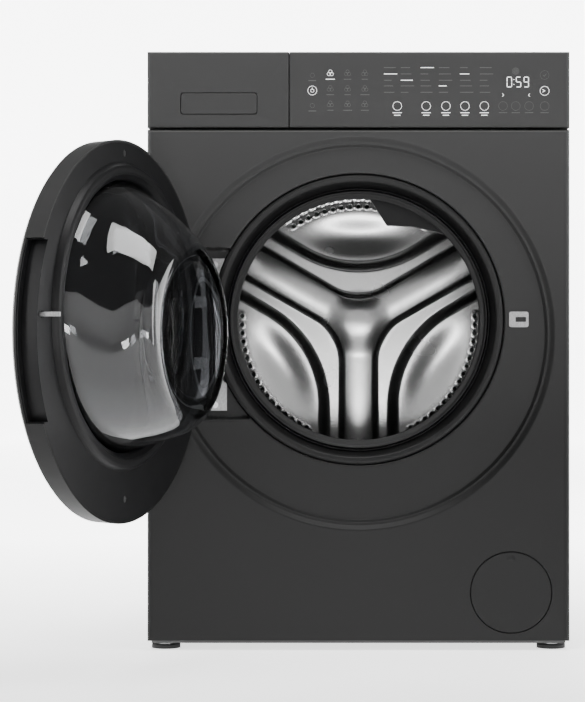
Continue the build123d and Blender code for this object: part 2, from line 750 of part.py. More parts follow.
def door_gasket():
    """Rubber bellows between the porthole and the tub's mouth."""
    neck_end = FRONT + RECESS_DEPTH + PORT_NECK
    bead = FRONT + RECESS_DEPTH + 4
    lip = bead + 20
    wall = GASKET_WALL_R
    cuff = TUB_MOUTH_R + 3.1
    return turned(
        [
            (PORT_R - 0.5, bead),
            (PORT_R - 12, bead),
            (PORT_R - 13.5, bead + 3),
            (PORT_R - 19.5, bead + 28),
            (PORT_R - 21.5, bead + 28),
            (wall + 3.5, bead + 17),
            (wall, bead + 17),
            (wall - 1, lip),
            (GASKET_LIP_R, lip),
            (GASKET_LIP_R, lip + 3),
            (wall, lip + 4),
            (wall, TUB_FRONT - 15),
            (wall + 1, TUB_FRONT - 14.5),
            (cuff, TUB_FRONT - 14.5),
            (cuff, TUB_FRONT - 2),
            (cuff + 4, TUB_FRONT - 2),
            (cuff + 4, TUB_FRONT - 18),
            (wall + 3, TUB_FRONT - 19),
            (wall + 3, bead + 31.5),
            (PORT_R - 17.5, bead + 31.5),
            (PORT_R - 10.5, bead + 4),
            (PORT_R - 4.5, bead + 4),
            (PORT_R - 4.5, neck_end + 4),
            (PORT_R + 5, neck_end + 4),
            (PORT_R + 5, neck_end - 4.5),
            (PORT_R + 2, neck_end - 4.5),
            (PORT_R + 2, neck_end + 0.5),
            (PORT_R - 0.5, neck_end + 0.5),
        ]
    )


def gasket_clamps():
    """Wire bands that hold the gasket to the porthole and to the tub."""
    neck_end = FRONT + RECESS_DEPTH + PORT_NECK
    cuff = TUB_MOUTH_R + 7.1
    front = ring_y(PORT_R + 7, PORT_R + 5, neck_end - 3, neck_end + 1)
    rear = ring_y(cuff + 2, cuff, TUB_FRONT - 12, TUB_FRONT - 7)
    return group([front, rear])


def spray_nozzle():
    """Moulded spray block in the throat, upper right."""
    y0 = FRONT + 60
    wall = AXIS_Z + GASKET_WALL_R
    drops = ((13, 1), (41, 44), (80, 46), (111, 53), (138, 61), (165, 51), (150, -29), (13, -29))
    block_solid = plate_xz([(x, wall - drop) for x, drop in drops], y0, TUB_FRONT - 18)
    return block_solid & rod_y(GASKET_WALL_R - 0.1, y0 - 1, TUB_FRONT)


# ---------------------------------------------------------------- drum and drive


def drum_shell():
    """Steel drum wall with its rolled front lip."""
    r = DRUM_R
    t = DRUM_SHEET
    return turned(
        [
            (r, DRUM_BACK),
            (r, DRUM_FRONT + 14),
            (r - 12, DRUM_FRONT + 4),
            (r - DRUM_ROLL, DRUM_FRONT),
            (DRUM_MOUTH_R, DRUM_FRONT),
            (DRUM_MOUTH_R, DRUM_FRONT + t),
            (r - DRUM_ROLL - t / 2, DRUM_FRONT + t),
            (r - 12 - t / 2, DRUM_FRONT + 4 + t),
            (r - t, DRUM_FRONT + 14 + t / 2),
            (r - t, DRUM_BACK),
        ]
    )


def star(arm, hub, reach, corner):
    """Three-armed outline in the XY plane, with rounded inner corners."""
    shape = Circle(hub)
    for angle in ARM_ANGLES:
        shape += Rot(0, 0, angle) * Pos(reach / 2, 0) * Rectangle(reach, arm)
    inner = [v for v in shape.vertices() if math.hypot(v.X, v.Y) < reach / 2]
    return fillet(inner, corner) & Circle(reach)


def drum_back():
    """Drum's rear disc with its pressed star and rows of holes."""
    disc = Circle(DRUM_R - DRUM_SHEET) - Circle(SHAFT_R + 6)
    for middle in (90.0, 210.0, 330.0):
        for radius in HOLE_ROWS:
            for i in range(17):
                angle = math.radians(middle + HOLE_PITCH * (i - 8))
                x = radius * math.cos(angle)
                y = radius * math.sin(angle)
                disc -= Pos(x, y) * Circle(3.0)
    sheet = extrude(disc, amount=DRUM_SHEET)
    low = extrude(star(126, 66, DRUM_R - 6, 60), amount=10)
    low_room = Pos(0, 0, -1) * extrude(star(123, 64.5, DRUM_R - 8, 60), amount=11 - DRUM_SHEET)
    high = extrude(star(54, 30, DRUM_R - 14, 60), amount=20)
    high_room = Pos(0, 0, -1) * extrude(star(51, 28.5, DRUM_R - 16, 60), amount=21 - DRUM_SHEET)
    back = sheet - low_room + (low - low_room)
    back = back - high_room + (high - high_room)
    return Pos(0, DRUM_BACK, AXIS_Z) * Rot(90, 0, 0) * back


def drum_lifters():
    """Three low ribs that lift the laundry."""
    ribs = []
    for angle in ARM_ANGLES:
        rib = block(-24, 24, DRUM_FRONT + 40, DRUM_BACK - 24, -DRUM_R, -DRUM_R + 40)
        rib = fillet(rib.edges().filter_by(Axis.Y).group_by(Axis.Z)[-1], 16)
        rib &= Pos(0, 0, -AXIS_Z) * rod_y(DRUM_R - DRUM_SHEET, DRUM_FRONT, DRUM_BACK)
        ribs.append(Pos(0, 0, AXIS_Z) * Rot(0, -90 - angle, 0) * rib)
    return group(ribs)


def drum_spider():
    """Cast three-armed support between the drum and the shaft."""
    arms = extrude(star(40, 40, DRUM_R - 4, 20), amount=12)
    spider = arms + rod_z(40, -6, 12, 0, 0) - rod_z(SHAFT_R, -8, 22, 0, 0)
    return Pos(0, DRUM_BACK + 12, AXIS_Z) * Rot(90, 0, 0) * spider


def drum_shaft():
    """Stepped steel shaft."""
    shaft = rod_y(SHAFT_R, DRUM_BACK + 2, BOSS_FRONT + 40)
    return shaft + rod_y(SHAFT_TAIL_R, BOSS_FRONT + 40, BOSS_BACK + 24)


def shaft_bearings():
    """Front and rear bearings."""
    front = ring_y(FRONT_BEARING_R, SHAFT_R + RUNNING, BOSS_FRONT + 8, BOSS_FRONT + 24)
    rear = ring_y(REAR_BEARING_R, SHAFT_TAIL_R + RUNNING, BOSS_BACK - 15, BOSS_BACK)
    return group([front, rear])


def shaft_seal():
    """Rubber seal in front of the bearings."""
    return ring_y(FRONT_BEARING_R, SHAFT_R + 0.1, BOSS_FRONT, BOSS_FRONT + 8)


def motor_stator():
    """Ring of twelve wound poles on the tub's back."""
    y0 = TUB_BACK
    stator = ring_y(92, BOSS_R + 0.2, y0, BOSS_BACK)
    for i in range(12):
        pole = block(-9, 9, y0 + 6, BOSS_BACK, 88, STATOR_R - 1)
        stator += Pos(0, 0, AXIS_Z) * Rot(0, 30 * i, 0) * pole
    return stator


def motor_rotor():
    """Cup-shaped rotor on the shaft's tail."""
    back = BOSS_BACK + 8
    return turned(
        [
            (SHAFT_TAIL_R, BOSS_BACK + 2),
            (28, BOSS_BACK + 2),
            (28, back),
            (ROTOR_R - 6, back),
            (ROTOR_R - 6, TUB_BACK + 8),
            (ROTOR_R, TUB_BACK + 8),
            (ROTOR_R, back + 3),
            (28, back + 3),
            (28, back + 6),
            (SHAFT_TAIL_R, back + 6),
        ]
    )


def rotor_bolt():
    """Bolt and washer that hold the rotor on the shaft."""
    end = BOSS_BACK + 24
    washer = ring_y(24, SHAFT_TAIL_R, BOSS_BACK + 14, BOSS_BACK + 17)
    head = Pos(0, end, AXIS_Z) * Rot(-90, 0, 0) * hexagon(19, 0, 8, 0, 0)
    return group([washer, head])


# ---------------------------------------------------------------- door


def arm_slots(x0, x1, depth):
    """Room in the door for the hinge arms, cut from the inner face."""
    slots = []
    for z in HINGE_ARMS:
        half = ARM_HEIGHT / 2 + 1.5
        slots.append(block(x0, x1, FRONT - depth, FRONT + 1, z - half, z + half))
    return slots[0] + slots[1]


def handle_envelope():
    """Ring-shaped piece of the door's edge that the handle liner takes up."""
    ring = ring_y(DOOR_R + 5, LINER_R, FRONT - HANDLE_DEPTH - 2, FRONT + 1, 0, DOOR_Z)
    half = HANDLE_HALF + 2
    return ring & block(100, 300, FRONT - 50, FRONT + 2, DOOR_Z - half, DOOR_Z + half)


def door_ring():
    """Outer rim of the door with the seat for the window."""
    face = FRONT - DOOR_THICK
    ring = turned(
        [
            (DOOR_R, FRONT),
            (DOOR_R - 1.5, face + 4),
            (DOOR_R - 5.5, face),
            (WINDOW_R + 0.5, face),
            (WINDOW_R + 0.5, face + 6),
            (WINDOW_R - 6.5, face + 6),
            (WINDOW_R - 6.5, face + 6 + DOOR_SKIN),
            (WINDOW_R + 3, face + 6 + DOOR_SKIN),
            (WINDOW_R + 3, face + DOOR_SKIN),
            (DOOR_R - 6.5, face + DOOR_SKIN),
            (DOOR_R - 4, face + 5),
            (DOOR_R - 2.8, FRONT),
        ],
        DOOR_Z,
    )
    ring -= handle_envelope()
    return ring - arm_slots(-DOOR_R - 5, -DOOR_R + 30, 15)


def door_window():
    """Dark outer glass, nearly flush with the rim."""
    face = FRONT - DOOR_THICK
    return rod_y(WINDOW_R, face + 1, face + 6, 0, DOOR_Z)


def door_frame():
    """Inner moulding with the collar round the bowl and the latch cheeks."""
    plate = rod_y(DOOR_R - 3.1, FRONT - 3, FRONT, 0, DOOR_Z) - handle_envelope()
    plate -= rod_y(BOWL_R + 5, FRONT - 9, FRONT + 9)
    collar = turned(
        [
            (COLLAR_R + 2, FRONT - 0.5),
            (COLLAR_R - 1, FRONT + 6),
            (COLLAR_R - 5, FRONT + 8.5),
            (COLLAR_R - 14, FRONT + 8.5),
            (BOWL_R + 2, FRONT + 3),
            (BOWL_R + 1, FRONT - 3),
            (BOWL_R + 6, FRONT - 3),
            (COLLAR_R + 2, FRONT - 3),
        ]
    )
    frame = plate + collar
    for z in (LATCH_Z - 5.5, LATCH_Z + 5.5):
        cheek_low = z - 1.5
        frame += block(LATCH_X - 6, LATCH_X + 6, FRONT - 18, FRONT - 2, cheek_low, cheek_low + 3)
    frame -= block(LATCH_X - 6, LATCH_X + 6.5, FRONT - 4, FRONT + 1, LATCH_Z - 4, LATCH_Z + 4)
    frame -= rod_z(2, LATCH_Z - 10, LATCH_Z + 10, LATCH_X, FRONT - 13)
    for z in door_screw_heights():
        frame -= rod_y(4.5, FRONT - 1.5, FRONT + 1, 0, z)
        frame -= rod_y(2, FRONT - 4, FRONT + 1, 0, z)
    return frame - arm_slots(-DOOR_R - 5, PIVOT_X + 27, 15)


def door_screw_heights():
    """Heights of the two screws that show in the inner moulding."""
    return DOOR_Z + 235.0, DOOR_Z - 220.0


def door_screws():
    """Screws in the door's inner moulding."""
    screws = []
    for z in door_screw_heights():
        head = rod_y(4.2, FRONT - 1.5, FRONT - 0.5, 0, z) - rod_y(1.5, FRONT - 1, FRONT, 0, z)
        screws.append(head + rod_y(1.9, FRONT - 12, FRONT - 1.5, 0, z))
    return group(screws)


def bowl_rings(grow):
    """Radius, depth and height of the bowl's sections; grow is negative inside."""
    depths = (-3.0, 32.0, 62.0, 87.0, 100.0)
    radii = (BOWL_R, BOWL_R - 15, BOWL_R - 32, BOWL_R - 50, BOWL_R - 66)
    heights = (AXIS_Z, AXIS_Z - 5, AXIS_Z - 14, AXIS_Z - 21, AXIS_Z - 23)
    return [(r + grow, FRONT + d, z) for r, d, z in zip(radii, depths, heights)]


def lofted_bowl(rings):
    """A solid through round sections along Y."""
    sections = []
    for radius, y, z in rings:
        plane = Plane(origin=(0, y, z), x_dir=(1, 0, 0), z_dir=(0, 1, 0))
        sections.append(plane * Circle(radius))
    return loft(sections, ruled=True)


def door_bowl():
    """Glass bowl that reaches into the gasket, with its clamped flange."""
    outer = lofted_bowl(bowl_rings(0))
    inside = bowl_rings(-BOWL_WALL)
    last = inside[-1]
    inside[-1] = (last[0], last[1] - BOWL_WALL, last[2])
    first = inside[0]
    inside[0] = (first[0], first[1] - 0.01, first[2])
    bowl = outer - lofted_bowl(inside)
    return bowl + ring_y(BOWL_R + 10, BOWL_R - BOWL_WALL, FRONT - 8, FRONT - 3)


def handle_liner():
    """Dark pocket liner in the door's free edge."""
    body = handle_envelope() & rod_y(DOOR_R - 3, FRONT - 50, FRONT, 0, DOOR_Z)
    room = ring_y(DOOR_R + 5, LINER_R + 2, FRONT - HANDLE_DEPTH, FRONT + 1, 0, DOOR_Z)
    room &= block(
        100, 300, FRONT - 50, FRONT + 1, DOOR_Z - HANDLE_HALF, DOOR_Z + HANDLE_HALF
    )
    return body - room


def latch_hook():
    """Sprung hook that catches behind the strike plate."""
    x0 = LATCH_X - 3
    outline = [
        (x0, FRONT - 16),
        (x0 + 6, FRONT - 16),
        (x0 + 6, FRONT + 16),
        (x0 + 11, FRONT + 16),
        (x0 + 11, FRONT + 18),
        (x0 + 4, FRONT + 24),
        (x0, FRONT + 24),
    ]
    hook = plate_xy(outline, LATCH_Z - 2.75, LATCH_Z + 2.75)
    hook += rod_z(4, LATCH_Z - 2.75, LATCH_Z + 2.75, LATCH_X, FRONT - 13)
    return hook - rod_z(2.05, LATCH_Z - 5, LATCH_Z + 5, LATCH_X, FRONT - 13)


def door_pins():
    """Pins that the hinge arms and the latch hook turn on."""
    low, high = HINGE_ARMS
    hinge = rod_z(PIN_R, low - 16, high + 16, PIVOT_X, PIVOT_Y)
    latch = rod_z(2, LATCH_Z - 7, LATCH_Z + 7, LATCH_X, FRONT - 13)
    return group([hinge, latch])


def hinge_plate():
    """Steel hinge plate in the recess, with two arms out to the pin."""
    back = FRONT + HINGE_POCKET_DEPTH
    plate = block(PIVOT_X + 11, PIVOT_X + 47, back - 3, back, 340, 557)
    plate -= rod_y(PORT_R + 1.5, FRONT, back + 5)
    plate -= rod_y(PORT_R + 4, FRONT, back + 5) & block(-SIDE, 0, FRONT, BACK, 380, 520)
    for z in HINGE_ARMS:
        outline = [
            (PIVOT_X + 13, back - 3),
            (PIVOT_X + 13, PIVOT_Y + 4),
            (PIVOT_X + 1, PIVOT_Y + EYE_R - 0.4),
            (PIVOT_X + 1, PIVOT_Y - EYE_R + 0.4),
            (PIVOT_X + 16, PIVOT_Y - 5),
            (PIVOT_X + 22.5, PIVOT_Y + 3),
            (PIVOT_X + 22.5, back - 3),
        ]
        z0 = z - ARM_HEIGHT / 2
        plate += plate_xy(outline, z0, z0 + ARM_HEIGHT)
        plate += rod_z(EYE_R, z0, z0 + ARM_HEIGHT, PIVOT_X, PIVOT_Y)
        plate -= rod_z(PIN_R + PIN_PLAY, z0 - 1, z0 + ARM_HEIGHT + 1, PIVOT_X, PIVOT_Y)
    for x, z in hinge_screw_places():
        plate -= rod_y(2.6, FRONT, back + 5, x, z)
    return plate


def hinge_screw_places():
    """Four screws of the hinge plate."""
    near, far = PIVOT_X + 30, PIVOT_X + 17
    return [(near, 548.0), (near, 348.0), (far, 530.0), (far, 372.0)]


def hinge_screws():
    """Screws that hold the hinge plate."""
    face = FRONT + HINGE_POCKET_DEPTH - 3
    screws = []
    for x, z in hinge_screw_places():
        head = rod_y(4.6, face - 2, face, x, z) - rod_y(2, face - 3, face - 1, x, z)
        screws.append(head + rod_y(2.5, face, face + 3, x, z))
    return screws


def door_hinge_bracket():
    """Bracket in the door that holds the pin above, between and below the arms."""
    low, high = HINGE_ARMS
    reach = ARM_HEIGHT / 2 + 1
    back = FRONT - DOOR_THICK + DOOR_SKIN + 0.5
    bracket = block(PIVOT_X - 6, PIVOT_X + 24, back, back + 3, low - 18, high + 18)
    spans = ((low - 18, low - reach), (low + reach, high - reach), (high + reach, high + 18))
    for z0, z1 in spans:
        bracket += block(PIVOT_X - 6, PIVOT_X + 8, back, PIVOT_Y + 6, z0, z1)
    bracket &= rod_y(DOOR_R - 7, FRONT - DOOR_THICK, FRONT, 0, DOOR_Z)
    return bracket - rod_z(PIN_R, low - 16, high + 16, PIVOT_X, PIVOT_Y)


def strike_plate():
    """Plate round the latch slot."""
    floor = FRONT + RECESS_DEPTH
    left, right = STRIKE_X - 16.5, STRIKE_X + 11
    plate = block(left, right, floor - 1.5, floor, LATCH_Z - 11, LATCH_Z + 11)
    plate = fillet(plate.edges().filter_by(Axis.Y), 3)
    return plate - block(
        STRIKE_X - 7.5, STRIKE_X + 7.5, floor - 3, floor + 1, LATCH_Z - 3.5, LATCH_Z + 3.5
    )


def door_lock():
    """Lock housing behind the strike plate."""
    y0 = FRONT + RECESS_DEPTH + SHEET
    lock = block(STRIKE_X - 14.8, STRIKE_X + 21, y0, y0 + 36, LATCH_Z - 32, LATCH_Z + 40)
    return lock - block(
        STRIKE_X - 8.5, STRIKE_X + 8.5, y0 - 1, y0 + 22, LATCH_Z - 4.5, LATCH_Z + 4.5
    )


# ---------------------------------------------------------------- all sub-parts


def sub_parts():
    """Every sub-part by its name."""
    parts = {
        "front_panel": front_panel(),
        "side_panel_left": side_panel(-1),
        "side_panel_right": side_panel(1),
        "rear_panel": rear_panel(),
        "rear_cover": rear_cover(),
        "cabinet_screws": cabinet_screws(),
        "top_panel": top_panel(),
        "base_pan": base_pan(),
        "foot_lock_nuts": foot_lock_nuts(),
        "console_panel": console_panel(),
        "control_board": control_board(),
        "drawer_front": drawer_front(),
        "grip_flap": grip_flap(),
        "drawer_tray": drawer_tray(),
        "siphon_cap": siphon_cap(),
        "dispenser_housing": dispenser_housing(),
        "internal_hoses": group([fill_bellows(), fill_hose(), sump_hose(), drain_hose()]),
        "inlet_valve": inlet_valve(),
        "drain_outlet": drain_outlet(),
        "cord_gland": cord_gland(),
        "drain_pump": drain_pump(),
        "filter_knob": filter_knob(),
        "pump_frame": pump_frame(),
        "pump_cover": pump_cover(),
        "heater": heater(),
        "tub_front": tub_front(),
        "tub_rear": tub_rear(),
        "counterweights": counterweights(),
        "suspension_springs": suspension_springs(),
        "spring_brackets": spring_brackets(),
        "dampers": dampers(),
        "door_gasket": door_gasket(),
        "gasket_clamps": gasket_clamps(),
        "spray_nozzle": spray_nozzle(),
        "drum_shell": drum_shell(),
        "drum_back": drum_back(),
        "drum_lifters": drum_lifters(),
        "drum_spider": drum_spider(),
        "drum_shaft": drum_shaft(),
        "shaft_bearings": shaft_bearings(),
        "shaft_seal": shaft_seal(),
        "motor_stator": motor_stator(),
        "motor_rotor": motor_rotor(),
        "rotor_bolt": rotor_bolt(),
        "hinge_plate": hinge_plate(),
        "strike_plate": strike_plate(),
        "door_lock": door_lock(),
        "door_ring": opened(door_ring()),
        "door_window": opened(door_window()),
        "door_frame": opened(door_frame()),
        "door_screws": opened(door_screws()),
        "door_bowl": opened(door_bowl()),
        "handle_liner": opened(handle_liner()),
        "latch_hook": opened(latch_hook()),
        "door_pins": opened(door_pins()),
        "door_hinge_bracket": opened(door_hinge_bracket()),
    }
    corners = ("front_left", "front_right", "rear_left", "rear_right")
    for corner, (x, y) in zip(corners, foot_places()):
        parts["foot_" + corner] = foot(x, y)
    return parts


os.makedirs("parts", exist_ok=True)
for node, shape in sub_parts().items():
    export_step(shape, f"parts/{node}.step")
    print(node, "written")
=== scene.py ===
import json
import math

import bmesh
import bpy
from mathutils import Matrix, Vector


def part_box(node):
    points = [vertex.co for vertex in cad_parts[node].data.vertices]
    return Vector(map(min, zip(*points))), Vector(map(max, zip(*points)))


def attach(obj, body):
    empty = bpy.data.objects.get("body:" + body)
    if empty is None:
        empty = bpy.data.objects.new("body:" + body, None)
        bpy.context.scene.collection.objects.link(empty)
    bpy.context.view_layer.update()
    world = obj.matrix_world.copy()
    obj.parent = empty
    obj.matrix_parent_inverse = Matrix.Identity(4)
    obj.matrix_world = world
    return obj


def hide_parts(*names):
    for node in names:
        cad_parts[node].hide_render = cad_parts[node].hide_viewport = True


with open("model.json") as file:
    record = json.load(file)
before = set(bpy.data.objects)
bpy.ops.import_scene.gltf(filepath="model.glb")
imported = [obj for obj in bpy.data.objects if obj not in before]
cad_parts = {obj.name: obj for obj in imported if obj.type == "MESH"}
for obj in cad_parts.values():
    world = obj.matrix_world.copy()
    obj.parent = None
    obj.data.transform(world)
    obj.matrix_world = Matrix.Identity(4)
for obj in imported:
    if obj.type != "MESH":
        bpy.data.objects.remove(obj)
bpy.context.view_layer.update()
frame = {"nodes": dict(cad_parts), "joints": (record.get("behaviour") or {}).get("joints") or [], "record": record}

# ---------------------------------------------------------------- places, in metres

MM = 0.001
PANEL_LOW, PANEL_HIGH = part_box("front_panel")
FRONT = PANEL_LOW.y
CONSOLE_LOW, CONSOLE_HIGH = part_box("console_panel")
DRUM_LOW, DRUM_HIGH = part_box("drum_back")
GASKET_LOW, GASKET_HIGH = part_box("door_gasket")
TOP_Z = CONSOLE_HIGH.z
AXIS_Z = (GASKET_LOW.z + GASKET_HIGH.z) / 2
JOINTS = {joint["name"]: joint for joint in frame["joints"]}
PIVOT = Vector(JOINTS["door_hinge"]["pos_m"])
DOOR_OPEN = math.radians(-JOINTS["door_hinge"]["range_deg"][0])
DOOR_Z = PIVOT.z
ARM_ANGLES = (30, 150, 270)  # star of the drum's back, in degrees


def opened_matrix():
    """Turns a door piece drawn closed to where the open door is."""
    turn = Matrix.Rotation(-DOOR_OPEN, 4, "Z")
    return Matrix.Translation(PIVOT) @ turn @ Matrix.Translation(-PIVOT)


# ---------------------------------------------------------------- camera, floor and light

VIEW_DISTANCE = 3.2  # from the front panel
VIEW_HEIGHT = 0.425
LENS = 115.7
SHIFT_TO_DOOR = -0.094  # leaves room for the open door on the left
WORLD_STRENGTH = 0.2
BACKDROP_R = 9.0
BACKDROP_HEIGHT = 3.4
BACKDROP_BEND = 1.5
BACKDROP_SIDES = 96
BEND_STEPS = 12


def make_camera():
    """A level view straight at the front, framed with room for the open door."""
    data = bpy.data.cameras.new("camera")
    data.lens = LENS
    data.sensor_width = 36.0
    data.shift_x = SHIFT_TO_DOOR
    camera = bpy.data.objects.new("camera", data)
    camera.location = (0.0, FRONT - VIEW_DISTANCE, VIEW_HEIGHT)
    camera.rotation_euler = (math.pi / 2, 0.0, 0.0)
    bpy.context.scene.collection.objects.link(camera)
    bpy.context.scene.camera = camera


def area_light(name, place, target, size, power):
    """A soft rectangular light aimed at a point."""
    data = bpy.data.lights.new(name, "AREA")
    data.shape = "RECTANGLE"
    data.size, data.size_y = size
    data.energy = power
    light = bpy.data.objects.new(name, data)
    light.location = place
    aim = Vector(target) - Vector(place)
    light.rotation_euler = aim.to_track_quat("-Z", "Y").to_euler()
    bpy.context.scene.collection.objects.link(light)


def make_lights():
    """Large soft boxes above, at the sides and low in front."""
    middle = (0.0, 0.0, 0.45)
    area_light("top_box", (0.0, -1.2, 2.9), middle, (2.6, 1.2), 120)
    area_light("left_box", (-2.6, -1.9, 1.2), middle, (0.7, 2.4), 60)
    area_light("right_box", (2.6, -1.7, 1.1), middle, (0.7, 2.4), 55)
    area_light("low_box", (0.0, -3.0, 0.15), (0.0, 0.0, 0.5), (0.9, 0.25), 20)
    area_light("back_box", (0.6, 2.8, 2.2), middle, (2.0, 1.6), 60)


def make_world():
    """Even studio surround."""
    world = bpy.data.worlds.new("studio")
    bpy.context.scene.world = world
    world.use_nodes = True
    background = world.node_tree.nodes["Background"]
    background.inputs["Color"].default_value = (1.0, 1.0, 1.0, 1.0)
    background.inputs["Strength"].default_value = WORLD_STRENGTH


def make_floor():
    """Pale floor that curves up into a wide round backdrop."""
    flat = BACKDROP_R - BACKDROP_BEND
    profile = [(0.02, 0.0), (flat, 0.0)]
    for step in range(1, BEND_STEPS + 1):
        angle = math.pi / 2 * step / BEND_STEPS
        reach = flat + BACKDROP_BEND * math.sin(angle)
        profile.append((reach, BACKDROP_BEND * (1 - math.cos(angle))))
    profile.append((BACKDROP_R, BACKDROP_HEIGHT))
    bm = bmesh.new()
    rings = []
    for r, z in profile:
        points = []
        for i in range(BACKDROP_SIDES):
            angle = 2 * math.pi * i / BACKDROP_SIDES
            points.append((r * math.cos(angle), r * math.sin(angle), z))
        rings.append(loop(bm, points))
    for first, second in zip(rings, rings[1:]):
        strip(bm, first, second)
    bm.faces.new(rings[0])
    mesh = bpy.data.meshes.new("floor")
    bm.to_mesh(mesh)
    bm.free()
    mesh.shade_smooth()
    mesh.set_sharp_from_angle(angle=math.radians(30))
    mesh.materials.append(paper("floor_paper"))
    floor = bpy.data.objects.new("floor", mesh)
    bpy.context.scene.collection.objects.link(floor)


# ---------------------------------------------------------------- materials


def new_material(name):
    """A node material with its Principled shader."""
    material = bpy.data.materials.new(name)
    material.use_nodes = True
    return material, material.node_tree, material.node_tree.nodes["Principled BSDF"]


def noise(tree, scale, detail=4.0, stretch=(1.0, 1.0, 1.0)):
    """Noise in object space; returns its value socket."""
    coordinates = tree.nodes.new("ShaderNodeTexCoord")
    mapping = tree.nodes.new("ShaderNodeMapping")
    mapping.inputs["Scale"].default_value = stretch
    texture = tree.nodes.new("ShaderNodeTexNoise")
    texture.inputs["Scale"].default_value = scale
    texture.inputs["Detail"].default_value = detail
    tree.links.new(coordinates.outputs["Object"], mapping.inputs["Vector"])
    tree.links.new(mapping.outputs["Vector"], texture.inputs["Vector"])
    return texture.outputs["Fac"]


def spread(tree, value, low, high):
    """Maps a 0 to 1 value to a range."""
    node = tree.nodes.new("ShaderNodeMapRange")
    node.inputs["From Min"].default_value = 0.3
    node.inputs["From Max"].default_value = 0.7
    node.inputs["To Min"].default_value = low
    node.inputs["To Max"].default_value = high
    tree.links.new(value, node.inputs["Value"])
    return node.outputs["Result"]


def two_tone(tree, value, base, amount):
    """Base colour made a little darker and lighter by a value."""
    ramp = tree.nodes.new("ShaderNodeValToRGB")
    ramp.color_ramp.elements[0].position = 0.3
    ramp.color_ramp.elements[1].position = 0.7
    ramp.color_ramp.elements[0].color = [c * (1 - amount) for c in base] + [1.0]
    ramp.color_ramp.elements[1].color = [min(1.0, c * (1 + amount)) for c in base] + [1.0]
    tree.links.new(value, ramp.inputs["Fac"])
    return ramp.outputs["Color"]


def bumped(tree, shader, value, distance):
    """Relief from a value."""
    bump = tree.nodes.new("ShaderNodeBump")
    bump.inputs["Distance"].default_value = distance
    bump.inputs["Strength"].default_value = 1.0
    tree.links.new(value, bump.inputs["Height"])
    tree.links.new(bump.outputs["Normal"], shader.inputs["Normal"])


def coated(name, base, roughness, scale, amount, relief, shine=0.5):
    """Paint or moulded plastic: cloudy tone, uneven gloss and fine grain."""
    material, tree, shader = new_material(name)
    cloud = noise(tree, scale, 3.0)
    grain = noise(tree, 2600.0, 2.0)
    tree.links.new(two_tone(tree, cloud, base, amount), shader.inputs["Base Color"])
    low, high = roughness * 0.92, min(1.0, roughness * 1.08)
    tree.links.new(spread(tree, grain, low, high), shader.inputs["Roughness"])
    bumped(tree, shader, grain, relief)
    shader.inputs["Specular IOR Level"].default_value = shine
    return material


GLOW_FROM, GLOW_TO = -1.1, 1.6  # where the paper's glow starts and is full, along Y
GLOW_LOW, GLOW_HIGH = 0.22, 5.0


def paper(name):
    """Studio paper that glows more towards the back, as a lit backdrop does."""
    material, tree, shader = new_material(name)
    cloud = noise(tree, 4.0, 2.0)
    colour = two_tone(tree, cloud, (0.93, 0.93, 0.93), 0.01)
    tree.links.new(colour, shader.inputs["Base Color"])
    tree.links.new(colour, shader.inputs["Emission Color"])
    coordinates = tree.nodes.new("ShaderNodeTexCoord")
    split = tree.nodes.new("ShaderNodeSeparateXYZ")
    glow = tree.nodes.new("ShaderNodeMapRange")
    glow.inputs["From Min"].default_value = GLOW_FROM
    glow.inputs["From Max"].default_value = GLOW_TO
    glow.inputs["To Min"].default_value = GLOW_LOW
    glow.inputs["To Max"].default_value = GLOW_HIGH
    tree.links.new(coordinates.outputs["Object"], split.inputs["Vector"])
    tree.links.new(split.outputs["Y"], glow.inputs["Value"])
    tree.links.new(glow.outputs["Result"], shader.inputs["Emission Strength"])
    shader.inputs["Roughness"].default_value = 0.8
    return material


TOP_LIGHT_START = 0.30  # height where the painted light from above begins to make the paint paler


def paint_lit_from_above(name, shaded_tone, lit_tone, metal, roughness):
    """Graphite paint with fine flakes, and painted light from above that makes it a little paler towards the top
    of the cabinet.
    """
    material, tree, shader = new_material(name)
    coordinates = tree.nodes.new("ShaderNodeTexCoord")
    split = tree.nodes.new("ShaderNodeSeparateXYZ")
    tree.links.new(coordinates.outputs["Object"], split.inputs["Vector"])
    # painted light: the tone ramps from shaded at the bottom to lit at the top, as light from above falls
    ramp = tree.nodes.new("ShaderNodeValToRGB")
    ramp.color_ramp.elements[0].position = TOP_LIGHT_START
    ramp.color_ramp.elements[1].position = TOP_Z
    ramp.color_ramp.elements[0].color = [shaded_tone] * 3 + [1.0]
    ramp.color_ramp.elements[1].color = [lit_tone] * 3 + [1.0]
    tree.links.new(split.outputs["Z"], ramp.inputs["Fac"])
    flakes = noise(tree, 3400.0, 1.0)
    tint = tree.nodes.new("ShaderNodeMix")
    tint.data_type = "RGBA"
    tint.blend_type = "MULTIPLY"
    tint.inputs["Factor"].default_value = 0.5
    tree.links.new(ramp.outputs["Color"], tint.inputs["A"])
    tree.links.new(two_tone(tree, flakes, (0.9, 0.9, 0.9), 0.1), tint.inputs["B"])
    tree.links.new(tint.outputs["Result"], shader.inputs["Base Color"])
    tree.links.new(spread(tree, flakes, roughness - 0.03, roughness + 0.03), shader.inputs["Roughness"])
    shader.inputs["Metallic"].default_value = metal
    shader.inputs["Specular IOR Level"].default_value = 0.15
    bumped(tree, shader, noise(tree, 900.0, 2.0), 0.00002)
    return material


def brushed(name, base, roughness, stretch):
    """Brushed metal: streaks along one axis in tone, gloss and relief."""
    material, tree, shader = new_material(name)
    streaks = noise(tree, 60.0, 6.0, stretch)
    cloud = noise(tree, 9.0, 2.0)
    tree.links.new(two_tone(tree, streaks, base, 0.06), shader.inputs["Base Color"])
    tree.links.new(spread(tree, cloud, roughness * 0.85, roughness * 1.15), shader.inputs["Roughness"])
    shader.inputs["Metallic"].default_value = 1.0
    shader.inputs["Anisotropic"].default_value = 0.4
    bumped(tree, shader, streaks, 0.000002)
    return material


